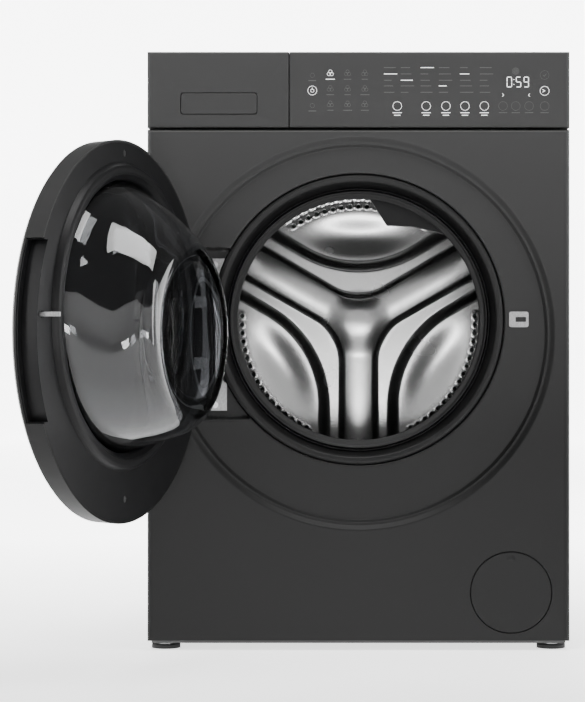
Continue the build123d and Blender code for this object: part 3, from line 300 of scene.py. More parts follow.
def rubber(name, base, roughness):
    """Satin rubber with a fine bloom."""
    material, tree, shader = new_material(name)
    bloom = noise(tree, 35.0, 5.0)
    pores = noise(tree, 1800.0, 2.0)
    tree.links.new(two_tone(tree, bloom, base, 0.15), shader.inputs["Base Color"])
    tree.links.new(spread(tree, bloom, roughness - 0.05, roughness + 0.06), shader.inputs["Roughness"])
    shader.inputs["Specular IOR Level"].default_value = 0.2
    bumped(tree, shader, pores, 0.00001)
    return material


def cast(name, base, roughness, scale, relief, metal=0.0):
    """Rough cast surface."""
    material, tree, shader = new_material(name)
    lumps = noise(tree, scale, 8.0)
    tree.links.new(two_tone(tree, lumps, base, 0.25), shader.inputs["Base Color"])
    tree.links.new(spread(tree, lumps, roughness - 0.08, roughness + 0.08), shader.inputs["Roughness"])
    shader.inputs["Metallic"].default_value = metal
    bumped(tree, shader, lumps, relief)
    return material


def galvanized(name, base):
    """Zinc-coated sheet with its faint crystal pattern."""
    material, tree, shader = new_material(name)
    coordinates = tree.nodes.new("ShaderNodeTexCoord")
    crystals = tree.nodes.new("ShaderNodeTexVoronoi")
    crystals.inputs["Scale"].default_value = 95.0
    tree.links.new(coordinates.outputs["Object"], crystals.inputs["Vector"])
    grey = tree.nodes.new("ShaderNodeSeparateColor")
    tree.links.new(crystals.outputs["Color"], grey.inputs["Color"])
    facet = grey.outputs["Red"]
    tree.links.new(two_tone(tree, facet, base, 0.07), shader.inputs["Base Color"])
    tree.links.new(spread(tree, facet, 0.40, 0.48), shader.inputs["Roughness"])
    shader.inputs["Metallic"].default_value = 0.9
    bumped(tree, shader, noise(tree, 300.0, 3.0), 0.00001)
    return material


def smoked_glass(name, tint, roughness, clear, shine=0.5):
    """Tinted glass with faint smears in its gloss."""
    material, tree, shader = new_material(name)
    smears = noise(tree, 14.0, 5.0, (1.0, 1.0, 0.3))
    tree.links.new(two_tone(tree, smears, tint, 0.06), shader.inputs["Base Color"])
    tree.links.new(spread(tree, smears, roughness, roughness * 1.8), shader.inputs["Roughness"])
    shader.inputs["Transmission Weight"].default_value = clear
    shader.inputs["Specular IOR Level"].default_value = shine
    shader.inputs["IOR"].default_value = 1.5
    return material


def lit(name, tone, strength):
    """Lit marking on the console, a little uneven as printed film is."""
    material, tree, shader = new_material(name)
    film = noise(tree, 500.0, 2.0)
    colour = two_tone(tree, film, (tone, tone, tone), 0.05)
    tree.links.new(colour, shader.inputs["Base Color"])
    tree.links.new(colour, shader.inputs["Emission Color"])
    shader.inputs["Emission Strength"].default_value = strength
    shader.inputs["Roughness"].default_value = 0.5
    return material


def make_materials():
    """One material for each slot of the record."""
    cross = (1.0, 1.0, 12.0)
    round_axis = (4.0, 0.3, 4.0)
    return {
        # both paints carry painted light from above: they grow paler towards the top of the cabinet
        "graphite_paint": paint_lit_from_above("graphite_paint", 0.005, 0.031, 0.1, 0.44),
        "console_plastic": paint_lit_from_above("console_plastic", 0.016, 0.026, 0.0, 0.48),
        "dark_plastic": coated("dark_plastic", (0.003, 0.003, 0.0033), 0.42, 40.0, 0.2, 0.00001, 0.15),
        "white_plastic": coated("white_plastic", (0.72, 0.73, 0.74), 0.38, 30.0, 0.04, 0.00002),
        "blue_plastic": coated("blue_plastic", (0.10, 0.28, 0.58), 0.4, 30.0, 0.06, 0.00002),
        "tub_plastic": coated("tub_plastic", (0.42, 0.44, 0.45), 0.55, 18.0, 0.12, 0.00006),
        "zinc_steel": galvanized("zinc_steel", (0.30, 0.305, 0.31)),
        "drum_steel": brushed("drum_steel", (0.29, 0.29, 0.29), 0.24, round_axis),
        "bright_steel": brushed("bright_steel", (0.6, 0.6, 0.6), 0.22, cross),
        "fastener_steel": cast("fastener_steel", (0.42, 0.42, 0.42), 0.36, 300.0, 0.00001, 1.0),
        "black_steel": coated("black_steel", (0.012, 0.012, 0.012), 0.5, 60.0, 0.2, 0.00002),
        "circuit_board": coated("circuit_board", (0.02, 0.14, 0.05), 0.4, 120.0, 0.3, 0.00002),
        "rubber": rubber("rubber", (0.02, 0.02, 0.02), 0.6),
        "gasket_rubber": rubber("gasket_rubber", (0.004, 0.004, 0.0041), 0.46),
        "foot_rubber": rubber("foot_rubber", (0.014, 0.014, 0.014), 0.66),
        "concrete": cast("concrete", (0.30, 0.29, 0.28), 0.9, 90.0, 0.0005),
        "stator_core": cast("stator_core", (0.30, 0.16, 0.08), 0.4, 160.0, 0.0001, 0.7),
        "cast_alloy": cast("cast_alloy", (0.5, 0.5, 0.5), 0.5, 120.0, 0.0002, 1.0),
        "hinge_metal": cast("hinge_metal", (0.2, 0.2, 0.2), 0.42, 500.0, 0.00001, 0.5),
        "window_glass": smoked_glass("window_glass", (0.004, 0.004, 0.005), 0.12, 0.0, 0.2),
        "bowl_glass": smoked_glass("bowl_glass", (0.56, 0.57, 0.59), 0.012, 1.0),
    }


# ---------------------------------------------------------------- mesh helpers


def loop(bm, points):
    """New vertices at a list of places."""
    return [bm.verts.new(point) for point in points]


def strip(bm, first, second):
    """Four-sided faces between two closed rings of equal count."""
    count = len(first)
    for i in range(count):
        j = (i + 1) % count
        bm.faces.new((first[i], first[j], second[j], second[i]))


def closed_edges(bm, ring):
    """Edges of a closed ring, made where they aren't there yet."""
    edges = []
    for i, vertex in enumerate(ring):
        following = ring[(i + 1) % len(ring)]
        edges.append(bm.edges.get((vertex, following)) or bm.edges.new((vertex, following)))
    return edges


def fill(bm, *rings):
    """Flat face inside the first ring and outside the others."""
    edges = []
    for ring in rings:
        edges += closed_edges(bm, ring)
    bmesh.ops.triangle_fill(bm, use_beauty=True, use_dissolve=False, edges=edges)


def circle_xz(radius, count, x=0.0, z=AXIS_Z, y=FRONT):
    """Points of a circle that faces the front."""
    points = []
    for i in range(count):
        angle = 2 * math.pi * i / count
        points.append((x + radius * math.cos(angle), y, z + radius * math.sin(angle)))
    return points


def rounded(points, radius, closed=False, steps=4):
    """The outline with an arc at each corner, smaller where its sides are short."""
    count = len(points)
    result = []
    for i, point in enumerate(points):
        if not closed and i in (0, count - 1):
            result.append(point)
            continue
        here = Vector(point)
        before = Vector(points[i - 1]) - here
        after = Vector(points[(i + 1) % count]) - here
        turn = before.angle(after, math.pi)
        if turn > math.pi - 0.02:
            result.append(point)
            continue
        reach = min(radius / math.tan(turn / 2), before.length * 0.45, after.length * 0.45)
        start = here + before.normalized() * reach
        end = here + after.normalized() * reach
        for step in range(steps + 1):
            t = step / steps
            result.append(tuple(start.lerp(here, t).lerp(here.lerp(end, t), t)))
    return result


def turn_profile(bm, profile, x=0.0, z=AXIS_Z, count=180, closed=True):
    """Surface of revolution about a Y line from (radius, y) points."""
    rings = [loop(bm, circle_xz(radius, count, x, z, y)) for radius, y in profile]
    for first, second in zip(rings, rings[1:]):
        strip(bm, first, second)
    if closed:
        strip(bm, rings[-1], rings[0])
    return rings


def rounded_rectangle(x0, x1, z0, z1, radius, steps=6):
    """Corner points of a rectangle with round corners, counter-clockwise."""
    points = []
    radius = max(radius, 0.05 * MM)
    corners = ((x1, z0, -90), (x1, z1, 0), (x0, z1, 90), (x0, z0, 180))
    for x, z, start in corners:
        centre_x = x - math.copysign(radius, x - (x0 + x1) / 2)
        centre_z = z - math.copysign(radius, z - (z0 + z1) / 2)
        for step in range(steps + 1):
            angle = math.radians(start + 90 * step / steps)
            points.append((centre_x + radius * math.cos(angle), centre_z + radius * math.sin(angle)))
    return points


def slab(bm, low, high, edge, back, corner, place, holes=()):
    """A plate with a rounded front edge; low and high are its corners in its own plane.

    edge is how far the rounding reaches in from the left, right, bottom and top side.
    Each hole is (outline, depth): a pocket with a floor.
    """
    (u0, v0), (u1, v1) = low, high
    left, right, bottom, top = edge
    deep = max(edge)
    rings = []
    for step in range(7):
        angle = math.pi / 2 * step / 6
        inset = 1 - math.sin(angle)
        outline = rounded_rectangle(
            u0 + left * inset, u1 - right * inset, v0 + bottom * inset, v1 - top * inset, corner
        )
        depth = deep * (1 - math.cos(angle))
        rings.append(loop(bm, [place(u, v, depth) for u, v in outline]))
    outline = rounded_rectangle(u0, u1, v0, v1, corner)
    rings.append(loop(bm, [place(u, v, back) for u, v in outline]))
    for first, second in zip(rings, rings[1:]):
        strip(bm, first, second)
    mouths = []
    for outline, depth in holes:
        mouth = loop(bm, [place(u, v, 0.0) for u, v in outline])
        floor = loop(bm, [place(u, v, depth) for u, v in outline])
        strip(bm, mouth, floor)
        fill(bm, floor)
        mouths.append(mouth)
    fill(bm, rings[0], *mouths)
    fill(bm, rings[-1])


def front_place(u, v, depth):
    """A plate that faces the front."""
    return (u, FRONT + depth, v)


def smooth(value):
    """Eases from 0 to 1."""
    value = min(1.0, max(0.0, value))
    return value * value * (3 - 2 * value)


def add_piece(name, bm, material, body, replaced=(), sharp=32.0, opened=False):
    """Turns a bmesh into a shaded piece that rides on a body."""
    bmesh.ops.remove_doubles(bm, verts=bm.verts, dist=1e-6)
    bmesh.ops.recalc_face_normals(bm, faces=bm.faces)
    mesh = bpy.data.meshes.new(name)
    bm.to_mesh(mesh)
    bm.free()
    if opened:
        mesh.transform(opened_matrix())
    mesh.shade_smooth()
    mesh.set_sharp_from_angle(angle=math.radians(sharp))
    piece = bpy.data.objects.new(name, mesh)
    bpy.context.scene.collection.objects.link(piece)
    mesh.materials.append(material)
    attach(piece, body)
    if replaced:
        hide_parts(*replaced)
    return piece


def thicken(piece, thickness):
    """Gives a sheet its thickness, away from its normals."""
    solid = piece.modifiers.new("thickness", "SOLIDIFY")
    solid.thickness = thickness
    solid.offset = -1.0


def weigh_normals(piece):
    """Keeps large flat faces flat in shading."""
    weighted = piece.modifiers.new("weighted", "WEIGHTED_NORMAL")
    weighted.keep_sharp = True


# ---------------------------------------------------------------- cabinet front

RING_R = 280 * MM
RECESS = 12 * MM
POCKET = 24 * MM
POCKET_HALF = 122.5 * MM
POCKET_R = 264 * MM
PORT_R = 208 * MM
PORT_LIP = 2.5 * MM
PORT_END = 30 * MM


def recess_depth(x, z):
    """How deep the panel is pressed in at a point."""
    r = math.hypot(x, z - DOOR_Z)
    depth = 0.0
    if r < RING_R:
        first = smooth((RING_R - r) / (9 * MM)) * 6.2
        second = smooth((RING_R - 10.5 * MM - r) / (5 * MM)) * 5.8
        depth = (first + second) * MM
    if x < 0:
        edge = min(POCKET_HALF - abs(z - DOOR_Z), POCKET_R - r)
        depth += (POCKET - RECESS) * smooth(edge / (3.5 * MM))
    return depth


PRESSED_COUNT = 720  # points round each ring of the pressed front


def pressed_rings(bm):
    """Rings from the porthole's edge out past the ring recess, each point pressed in."""
    port = PORT_R + PORT_LIP
    ledge = POCKET_R - 4 * MM
    inner, outer = 36, 28
    flat = []
    for step in range(inner + 1):
        t = step / inner
        radius = port + (ledge - port) * t
        flat.append(circle_xz(radius, PRESSED_COUNT, 0.0, AXIS_Z + (DOOR_Z - AXIS_Z) * t))
    for step in range(1, outer + 1):
        radius = ledge + (RING_R + 1 * MM - ledge) * step / outer
        flat.append(circle_xz(radius, PRESSED_COUNT, 0.0, DOOR_Z))
    return [loop(bm, [(x, FRONT + recess_depth(x, z), z) for x, y, z in ring]) for ring in flat]


def porthole_neck(bm):
    """Rings from the porthole's rounded lip to the end of its neck."""
    port = PORT_R + PORT_LIP
    edge = circle_xz(port, PRESSED_COUNT)
    steps = 5
    neck = []
    for step in range(1, steps + 1):
        angle = math.pi / 2 * step / steps
        ring = circle_xz(port - PORT_LIP * math.sin(angle), PRESSED_COUNT)
        drop = PORT_LIP * (1 - math.cos(angle))
        depths = [recess_depth(x, z) + drop for x, y, z in edge]
        neck.append(loop(bm, [(x, FRONT + depth, z) for (x, y, z), depth in zip(ring, depths)]))
    neck.append(loop(bm, circle_xz(PORT_R, PRESSED_COUNT, 0.0, AXIS_Z, FRONT + PORT_END)))
    return neck


def panel_edges(bm):
    """Rings of the panel's rounded outer edges, from its flat face to its back."""
    low_x, high_x = PANEL_LOW.x, PANEL_HIGH.x
    low_z, high_z = PANEL_LOW.z, PANEL_HIGH.z
    side_r, top_r, bottom_r = 7 * MM, 4.5 * MM, 2 * MM
    steps = 7
    rings = []
    for step in range(steps + 1):
        angle = math.pi / 2 * step / steps
        inset = 1 - math.sin(angle)
        left, right = low_x + side_r * inset, high_x - side_r * inset
        bottom, top = low_z + bottom_r * inset, high_z - top_r * inset
        depth = side_r * (1 - math.cos(angle))
        outline = rounded_rectangle(left, right, bottom, top, 0.0, 1)
        rings.append(loop(bm, [front_place(u, v, depth) for u, v in outline]))
    outline = rounded_rectangle(low_x, high_x, low_z, high_z, 0.0, 1)
    rings.append(loop(bm, [(u, PANEL_HIGH.y, v) for u, v in outline]))
    return rings


def cover_hole(bm):
    """Rings of the round hole for the pump's cover."""
    low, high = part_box("pump_cover")
    radius = (high.x - low.x) / 2 + 0.7 * MM
    x, z = (high.x + low.x) / 2, (high.z + low.z) / 2
    return [
        loop(bm, circle_xz(radius + grow * MM, 120, x, z, FRONT + depth * MM))
        for grow, depth in ((1, 0), (0.3, 0.3), (0, 1), (0, 4))
    ]


def make_cabinet_front(material):
    """Front panel: flat plate, ring recess, hinge pocket, porthole neck and rounded edges."""
    bm = bmesh.new()
    pressed = pressed_rings(bm)
    edges = panel_edges(bm)
    hole = cover_hole(bm)
    for rings in (porthole_neck(bm)[::-1] + pressed, edges, hole):
        for first, second in zip(rings, rings[1:]):
            strip(bm, first, second)
    fill(bm, edges[0], pressed[-1], hole[0])
    piece = add_piece("cabinet_front", bm, material, "cabinet", ("front_panel",), 50.0)
    thicken(piece, 0.9 * MM)
    weigh_normals(piece)


def make_pump_cover(material):
    """Flush round cover with a coin notch."""
    low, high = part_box("pump_cover")
    x, z = (low.x + high.x) / 2, (low.z + high.z) / 2
    radius = (high.x - low.x) / 2
    bm = bmesh.new()
    rings = []
    radii = [radius * step / 40 for step in range(1, 39)]
    radii += [radius - 1.4 * MM, radius - 0.9 * MM, radius - 0.4 * MM, radius]
    for r in radii:
        points = []
        for px, y, pz in circle_xz(r, 240, x, z):
            edge = max(0.0, r - (radius - 1.4 * MM)) / (1.4 * MM)
            depth = 1.2 * MM * (1 - math.sqrt(max(0.0, 1 - edge * edge)))
            notch = math.hypot(px - x, pz - (z + 47 * MM))
            if pz > z + 46 * MM:
                depth += 1.4 * MM * smooth((5.5 * MM - notch) / (1.6 * MM))
            points.append((px, FRONT + depth, pz))
        rings.append(loop(bm, points))
    for first, second in zip(rings, rings[1:]):
        strip(bm, first, second)
    fill(bm, rings[0])
    skirt = loop(bm, circle_xz(radius - 1 * MM, 240, x, z, FRONT + 3 * MM))
    end = loop(bm, circle_xz(radius - 1 * MM, 240, x, z, high.y))
    inner_end = loop(bm, circle_xz(radius - 3 * MM, 240, x, z, high.y))
    inner = loop(bm, circle_xz(radius - 3 * MM, 240, x, z, FRONT + 3 * MM))
    for first, second in zip((rings[-1], skirt, end, inner_end), (skirt, end, inner_end, inner)):
        strip(bm, first, second)
    fill(bm, inner)
    add_piece("service_cover", bm, material, "pump_door", ("pump_cover",))


# ---------------------------------------------------------------- gasket and drum


def make_gasket(material):
    """Door gasket: bead, fold, ridge, lip, bellows and its two clamped edges."""
    f = FRONT / MM
    profile = [
        (207.5, f + 16), (203, f + 13.6), (197, f + 15), (194.5, f + 19), (191.5, f + 30),
        (188.5, f + 44), (186.5, f + 44), (184.5, f + 33), (182.5, f + 32.5), (180, f + 36),
        (174, f + 35.5), (172.5, f + 37.5), (174, f + 39.5), (181, f + 41), (181.5, f + 48),
        (185, f + 53), (181.5, f + 58), (185, f + 64), (181.5, f + 70), (181, f + 85),
        (191, f + 86), (191, f + 98), (195, f + 98), (195, f + 82), (184.5, f + 81),
        (184.5, f + 73), (188, f + 64), (184.5, f + 53), (184.5, f + 47.5), (190.5, f + 47.5),
        (197.5, f + 20), (203.5, f + 20), (203.5, f + 34), (213, f + 34), (213, f + 25.5),
        (210, f + 25.5), (210, f + 30.5), (207.5, f + 30.5),
    ]
    bm = bmesh.new()
    turn_profile(bm, [(r * MM, y * MM) for r, y in rounded(profile, 2.5, True, 3)], count=240)
    add_piece("gasket_bellows", bm, material, "cabinet", ("door_gasket",), 50.0)


def star_gap(x, z, half_width, corner):
    """Distance outside a three-armed star with round inner corners; negative inside it."""
    angle = math.degrees(math.atan2(z, x)) % 120.0 - 30.0
    angle = abs(angle if angle <= 60.0 else angle - 120.0)
    r = math.hypot(x, z)
    along = r * math.cos(math.radians(angle))
    across = r * math.sin(math.radians(angle))
    centre = (half_width + corner) / math.sin(math.radians(60))
    centre_along = centre * math.cos(math.radians(60))
    centre_across = centre * math.sin(math.radians(60))
    if along > centre_along:
        return across - half_width
    return corner - math.hypot(along - centre_along, across - centre_across)


def drum_relief(x, z):
    """How far the drum's back stands towards the front, in metres; x and z from its axis."""
    r = math.hypot(x, z)
    outer = star_gap(x, z, 63.5 * MM, 170 * MM)
    inner = star_gap(x, z, 27 * MM, 80 * MM)
    height = 11 * MM * smooth((2 * MM - outer) / (20 * MM))
    height += 6 * MM * smooth((6 * MM - inner) / (12 * MM))
    crown = min(1.0, max(0.0, -inner / (27 * MM)))
    height += 3 * MM * crown * (2 - crown)
    height += 5 * MM * smooth((56 * MM - r) / (50 * MM))
    height -= 9 * MM * smooth((184 * MM - r) / (70 * MM)) * smooth((outer - 1 * MM) / (60 * MM))
    rim = smooth((r - 214 * MM) / (10 * MM))
    return height * (1 - smooth((r - 226 * MM) / (14 * MM))) + 3 * MM * rim


HOLE_IN = 183 * MM
HOLE_OUT = 211 * MM
HOLE_SPREAD = 37.0  # degrees each side of a sector's middle
HOLE_PITCH = 4.2


def in_hole_band(radius, angle):
    """Whether a place on the drum's back lies in a flat band with holes."""
    away = abs((angle - 90.0 + 60.0) % 120.0 - 60.0)
    return HOLE_IN - 1e-6 < radius < HOLE_OUT + 1e-6 and away < HOLE_SPREAD


HOLE_ROWS = (189 * MM, 204 * MM)
HOLES_IN_ROW = 17
HOLE_SECTION = ((5.2, 0.0), (4.4, 0.35), (3.7, 0.3), (3.2, -0.3), (3.1, -3.0))  # radius, rise
DISC_COUNT = 720
HUB_R = 21 * MM
INNER_STEPS, BAND_STEPS, EDGE_STEPS = 90, 14, 20


def rimmed_holes(bm, middle, base):
    """Rimmed holes of one band; returns the outline of each."""
    mouths = []
    for row_radius in HOLE_ROWS:
        for i in range(HOLES_IN_ROW):
            angle = math.radians(middle + HOLE_PITCH * (i - HOLES_IN_ROW // 2))
            x = row_radius * math.cos(angle)
            z = row_radius * math.sin(angle)
            level = base - drum_relief(x, z)
            hole = []
            for radius, rise in HOLE_SECTION:
                hole.append(loop(bm, circle_xz(radius * MM, 20, x, AXIS_Z + z, level - rise * MM)))
            for first, second in zip(hole, hole[1:]):
                strip(bm, first, second)
            mouths.append(hole[0])
    return mouths


def band_outline(rings, middle):
    """Vertices round one band with holes, taken from the disc's rings."""
    inner_k, outer_k = INNER_STEPS, INNER_STEPS + BAND_STEPS
    half = int(HOLE_SPREAD * DISC_COUNT / 360)
    centre = middle * DISC_COUNT // 360
    first, last = centre - half, centre + half
    outline = [rings[inner_k][i % DISC_COUNT] for i in range(first, last + 1)]
    outline += [rings[k][last % DISC_COUNT] for k in range(inner_k + 1, outer_k)]
    outline += [rings[outer_k][i % DISC_COUNT] for i in range(last, first - 1, -1)]
    outline += [rings[k][first % DISC_COUNT] for k in range(outer_k - 1, inner_k, -1)]
    return outline


def make_drum_back(material):
    """Drum's rear disc: three-armed star, dished sectors and bands of rimmed holes."""
    bm = bmesh.new()
    base = DRUM_HIGH.y - 1.2 * MM
    edge = (DRUM_HIGH.x - DRUM_LOW.x) / 2
    radii = [HUB_R]
    for start, end, steps in (
        (HUB_R, HOLE_IN, INNER_STEPS),
        (HOLE_IN, HOLE_OUT, BAND_STEPS),
        (HOLE_OUT, edge, EDGE_STEPS),
    ):
        radii += [start + (end - start) * step / steps for step in range(1, steps + 1)]
    rings = []
    for radius in radii:
        points = []
        for x, y, z in circle_xz(radius, DISC_COUNT, 0.0, 0.0):
            points.append((x, base - drum_relief(x, z), AXIS_Z + z))
        rings.append(loop(bm, points))
    for k, (first, second) in enumerate(zip(rings, rings[1:])):
        middle = (radii[k] + radii[k + 1]) / 2
        for i in range(DISC_COUNT):
            if in_hole_band(middle, (i + 0.5) * 360 / DISC_COUNT):
                continue
            j = (i + 1) % DISC_COUNT
            bm.faces.new((first[i], first[j], second[j], second[i]))
    hub = loop(bm, circle_xz(8 * MM, DISC_COUNT, 0.0, AXIS_Z, base - 25 * MM))
    strip(bm, rings[0], hub)
    fill(bm, hub)
    for middle in (90, 210, 330):
        fill(bm, band_outline(rings, middle), *rimmed_holes(bm, middle, base))
    add_piece("drum_rear_disc", bm, material, "drum", ("drum_back",), 60.0)


def make_drum_wall(material):
    """Drum's perforated wall with its rolled lip."""
    low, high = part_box("drum_shell")
    radius = (high.x - low.x) / 2
    mouth = 183 * MM
    profile = [
        (radius, high.y), (radius, low.y + 14 * MM), (radius - 12 * MM, low.y + 4 * MM),
        (radius - 30 * MM, low.y), (mouth, low.y), (mouth, low.y + 4 * MM),
        (mouth + 2 * MM, low.y + 4 * MM), (mouth + 2 * MM, low.y + 1.4 * MM),
        (radius - 31 * MM, low.y + 1.4 * MM), (radius - 13 * MM, low.y + 5.4 * MM),
        (radius - 1.2 * MM, low.y + 15 * MM),
    ]
    bm = bmesh.new()
    turn_profile(bm, rounded(profile, 4 * MM), count=216, closed=False)
    rows, columns = 22, 108
    start, end = low.y + 24 * MM, high.y - 8 * MM
    step_y = (end - start) / rows
    inner = radius - 1.2 * MM

    def at(angle, y, sink):
        r = inner + sink
        return (r * math.cos(angle), y, AXIS_Z + r * math.sin(angle))

    turn_profile(bm, [(inner, low.y + 15 * MM), (inner, start)], count=216, closed=False)
    turn_profile(bm, [(inner, end), (inner, high.y)], count=216, closed=False)
    cell = 2 * math.pi / columns
    for row in range(rows):
        y0 = start + row * step_y
        for column in range(columns):
            a0 = cell * column
            corners = [
                (a0, y0), (a0 + cell / 2, y0), (a0 + cell, y0), (a0 + cell, y0 + step_y / 2),
                (a0 + cell, y0 + step_y), (a0 + cell / 2, y0 + step_y), (a0, y0 + step_y),
                (a0, y0 + step_y / 2),
            ]
            outer = loop(bm, [at(a, y, 0.0) for a, y in corners])
            mid_a, mid_y = a0 + cell / 2, y0 + step_y / 2
            holes = []
            for hole_r, sink in ((3.0, 0.0), (2.0, 1.1)):
                points = []
                for a, y in corners:
                    direction = math.atan2(y - mid_y, (a - mid_a) * inner)
                    along = hole_r * MM * math.cos(direction) / inner
                    points.append(at(mid_a + along, mid_y + hole_r * MM * math.sin(direction), sink * MM))
                holes.append(loop(bm, points))
            strip(bm, outer, holes[0])
            strip(bm, holes[0], holes[1])
    add_piece("drum_wall", bm, material, "drum", ("drum_shell",), 40.0)


# ---------------------------------------------------------------- door


def make_door_moulding(material):
    """Inner moulding of the door: collar round the bowl and a soft outer ledge."""
    f = FRONT / MM
    profile = [
        (203.2, f - 0.6), (201.5, f + 3.5), (199.0, f + 7.5), (195.0, f + 9.2), (189.0, f + 9.0),
        (181.0, f + 4.5), (179.6, f + 1.0), (179.4, f - 2.0), (186.0, f - 2.0), (203.2, f - 2.0),
    ]
    bm = bmesh.new()
    points = [(r * MM, y * MM) for r, y in rounded(profile, 3.0, True, 3)]
    turn_profile(bm, points, count=240)
    add_piece("door_collar", bm, material, "door", (), 40.0, True)


SCOOP_TURN = 60.0  # degrees; where round the bowl its scoop starts
SCOOP_DEPTH = 0.16  # share of the radius
SCOOP_TWIST = 0.9  # degrees for each millimetre of depth
SCOOP_NEAR, SCOOP_FAR = 4, 104


def make_bowl(material):
    """Glass bowl: round sections that shrink and drop towards a rounded end."""
    flange = 188.0
    outer = [
        (-8, flange, 470), (-3, flange, 470), (-3, 179.0, 470), (3, 177.0, 470), (14, 171.5, 468.5),
        (32, 163.5, 465), (47, 155.0, 460.5), (62, 146.5, 456), (75, 138.5, 452.5), (84, 132.5, 450.5),
        (91, 126.0, 449), (96, 118.5, 447.5), (99, 110.0, 447), (100, 100.0, 447), (96, 70.0, 447),
        (91, 40.0, 447), (89, 12.0, 447),
    ]
    inner = [
        (84, 12.0, 447), (86, 40.0, 447), (91, 70.0, 447), (94.5, 98.0, 447), (93, 106.0, 447),
        (89, 114.5, 448), (83, 123.0, 450), (73, 131.5, 452.5), (62, 139.5, 456), (47, 148.5, 460.5),
        (32, 157.5, 465), (14, 165.5, 468.5), (3, 170.5, 470), (-8, 172.5, 470),
    ]
    bm = bmesh.new()
    outside = bowl_rings(bm, outer)
    inside = bowl_rings(bm, inner)
    for rings in (outside, inside):
        for first, second in zip(rings, rings[1:]):
            strip(bm, first, second)
    strip(bm, inside[-1], outside[0])
    fill(bm, outside[-1])
    fill(bm, inside[0])
    add_piece("glass_bowl", bm, material, "door", ("door_bowl",), 50.0, True)


def bowl_rings(bm, sections):
    """Rings of the bowl from (depth, radius, height of centre), with the scoop pressed in."""
    count = 192
    rings = []
    for depth, radius, height in sections:
        points = []
        sink = smooth((depth - SCOOP_NEAR) / 30) * smooth((SCOOP_FAR - depth) / 40)
        for i in range(count):
            angle = 2 * math.pi * i / count
            wave = 0.5 + 0.5 * math.cos(angle - math.radians(SCOOP_TURN - SCOOP_TWIST * depth))
            scoop = 1 - SCOOP_DEPTH * sink * wave ** 6
            r = radius * MM * scoop
            points.append((r * math.cos(angle), FRONT + depth * MM, height * MM + r * math.sin(angle)))
        rings.append(loop(bm, points))
    return rings


def make_springs(material):
    """Four coil springs whose coils narrow at both ends."""
    low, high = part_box("suspension_springs")
    coil_r, wire = 8.4 * MM, 1.5 * MM
    x = high.x - 10 * MM
    rows = (low.y + 10 * MM, high.y - 10 * MM)
    turns, steps = 22, 18
    for n, (cx, cy) in enumerate((sx, sy) for sy in rows for sx in (-x, x)):
        curve = bpy.data.curves.new("spring_coil", "CURVE")
        curve.dimensions = "3D"
        curve.bevel_depth = wire
        curve.bevel_resolution = 3
        line = curve.splines.new("POLY")
        total = turns * steps
        line.points.add(total)
        for i in range(total + 1):
            angle = 2 * math.pi * i / steps
            z = low.z + wire + (high.z - low.z - 2 * wire) * i / total
            ends = smooth(min(i, total - i) / steps)
            r = coil_r * (0.35 + 0.65 * ends)
            line.points[i].co = (cx + r * math.cos(angle), cy + r * math.sin(angle), z, 1.0)
        spring = bpy.data.objects.new("suspension_spring_" + str(n + 1), curve)
        bpy.context.scene.collection.objects.link(spring)
        curve.materials.append(material)
        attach(spring, "cabinet")
        if n == 0:
            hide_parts("suspension_springs")


# ---------------------------------------------------------------- console


def make_console(material):
    """Control face with its softened edges, and the frame behind the drawer."""
    drawer_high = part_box("drawer_front")[1]
    left = drawer_high.x + 0.6 * MM
    bm = bmesh.new()
    low, high = (left, CONSOLE_LOW.z), (CONSOLE_HIGH.x, CONSOLE_HIGH.z)
    edge = (0.8 * MM, 6 * MM, 1.6 * MM, 3.6 * MM)
    slab(bm, low, high, edge, 28 * MM, 0.6 * MM, front_place)
    add_piece("control_face", bm, material, "cabinet", ("console_panel",))
    tray_low, tray_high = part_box("dispenser_housing")
    bm = bmesh.new()
    y0, y1 = CONSOLE_HIGH.y - 2.5 * MM, CONSOLE_HIGH.y
    outline = rounded_rectangle(CONSOLE_LOW.x, left - 0.1 * MM, CONSOLE_LOW.z, CONSOLE_HIGH.z, 1 * MM)
    gap = 2 * MM
    opening = rounded_rectangle(
        tray_low.x + gap, tray_high.x - gap, tray_low.z + gap, tray_high.z - gap, 3 * MM
    )
    front = loop(bm, [(u, y0, v) for u, v in outline])
    back = loop(bm, [(u, y1, v) for u, v in outline])
    mouth = loop(bm, [(u, y0, v) for u, v in opening])
    mouth_back = loop(bm, [(u, y1, v) for u, v in opening])
    strip(bm, front, back)
    strip(bm, mouth, mouth_back)
    fill(bm, front, mouth)
    fill(bm, back, mouth_back)
    add_piece("drawer_surround", bm, material, "cabinet")


def make_drawer_front(material):
    """Drawer's face with its grip pocket."""
    low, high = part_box("drawer_front")
    flap_low, flap_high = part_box("grip_flap")
    flap_middle = (flap_low.x + flap_high.x) / 2
    half, gap = 54 * MM, 0.7 * MM
    outline = rounded_rectangle(
        flap_middle - half - gap, flap_middle + half + gap, flap_low.z - gap, flap_high.z + gap, 4.5 * MM
    )
    bm = bmesh.new()
    edge = (6 * MM, 0.8 * MM, 1.6 * MM, 3.6 * MM)
    hole = [(outline, 20 * MM)]
    slab(bm, (low.x, low.z), (high.x, high.z), edge, 22 * MM, 0.6 * MM, front_place, hole)
    add_piece("drawer_face", bm, material, "drawer", ("drawer_front",))
    bm = bmesh.new()
    inset = 0.25 * MM
    slab(
        bm,
        (flap_middle - half + inset, flap_low.z + inset),
        (flap_middle + half - inset, flap_high.z - inset),
        (0.7 * MM,) * 4,
        2.5 * MM,
        4.0 * MM,
        front_place,
    )
    add_piece("grip_plate", bm, material, "flap", ("grip_flap",))


PRINT_OUT = 0.12  # how far a mark stands out of the face, in millimetres
PRINT_IN = 0.05


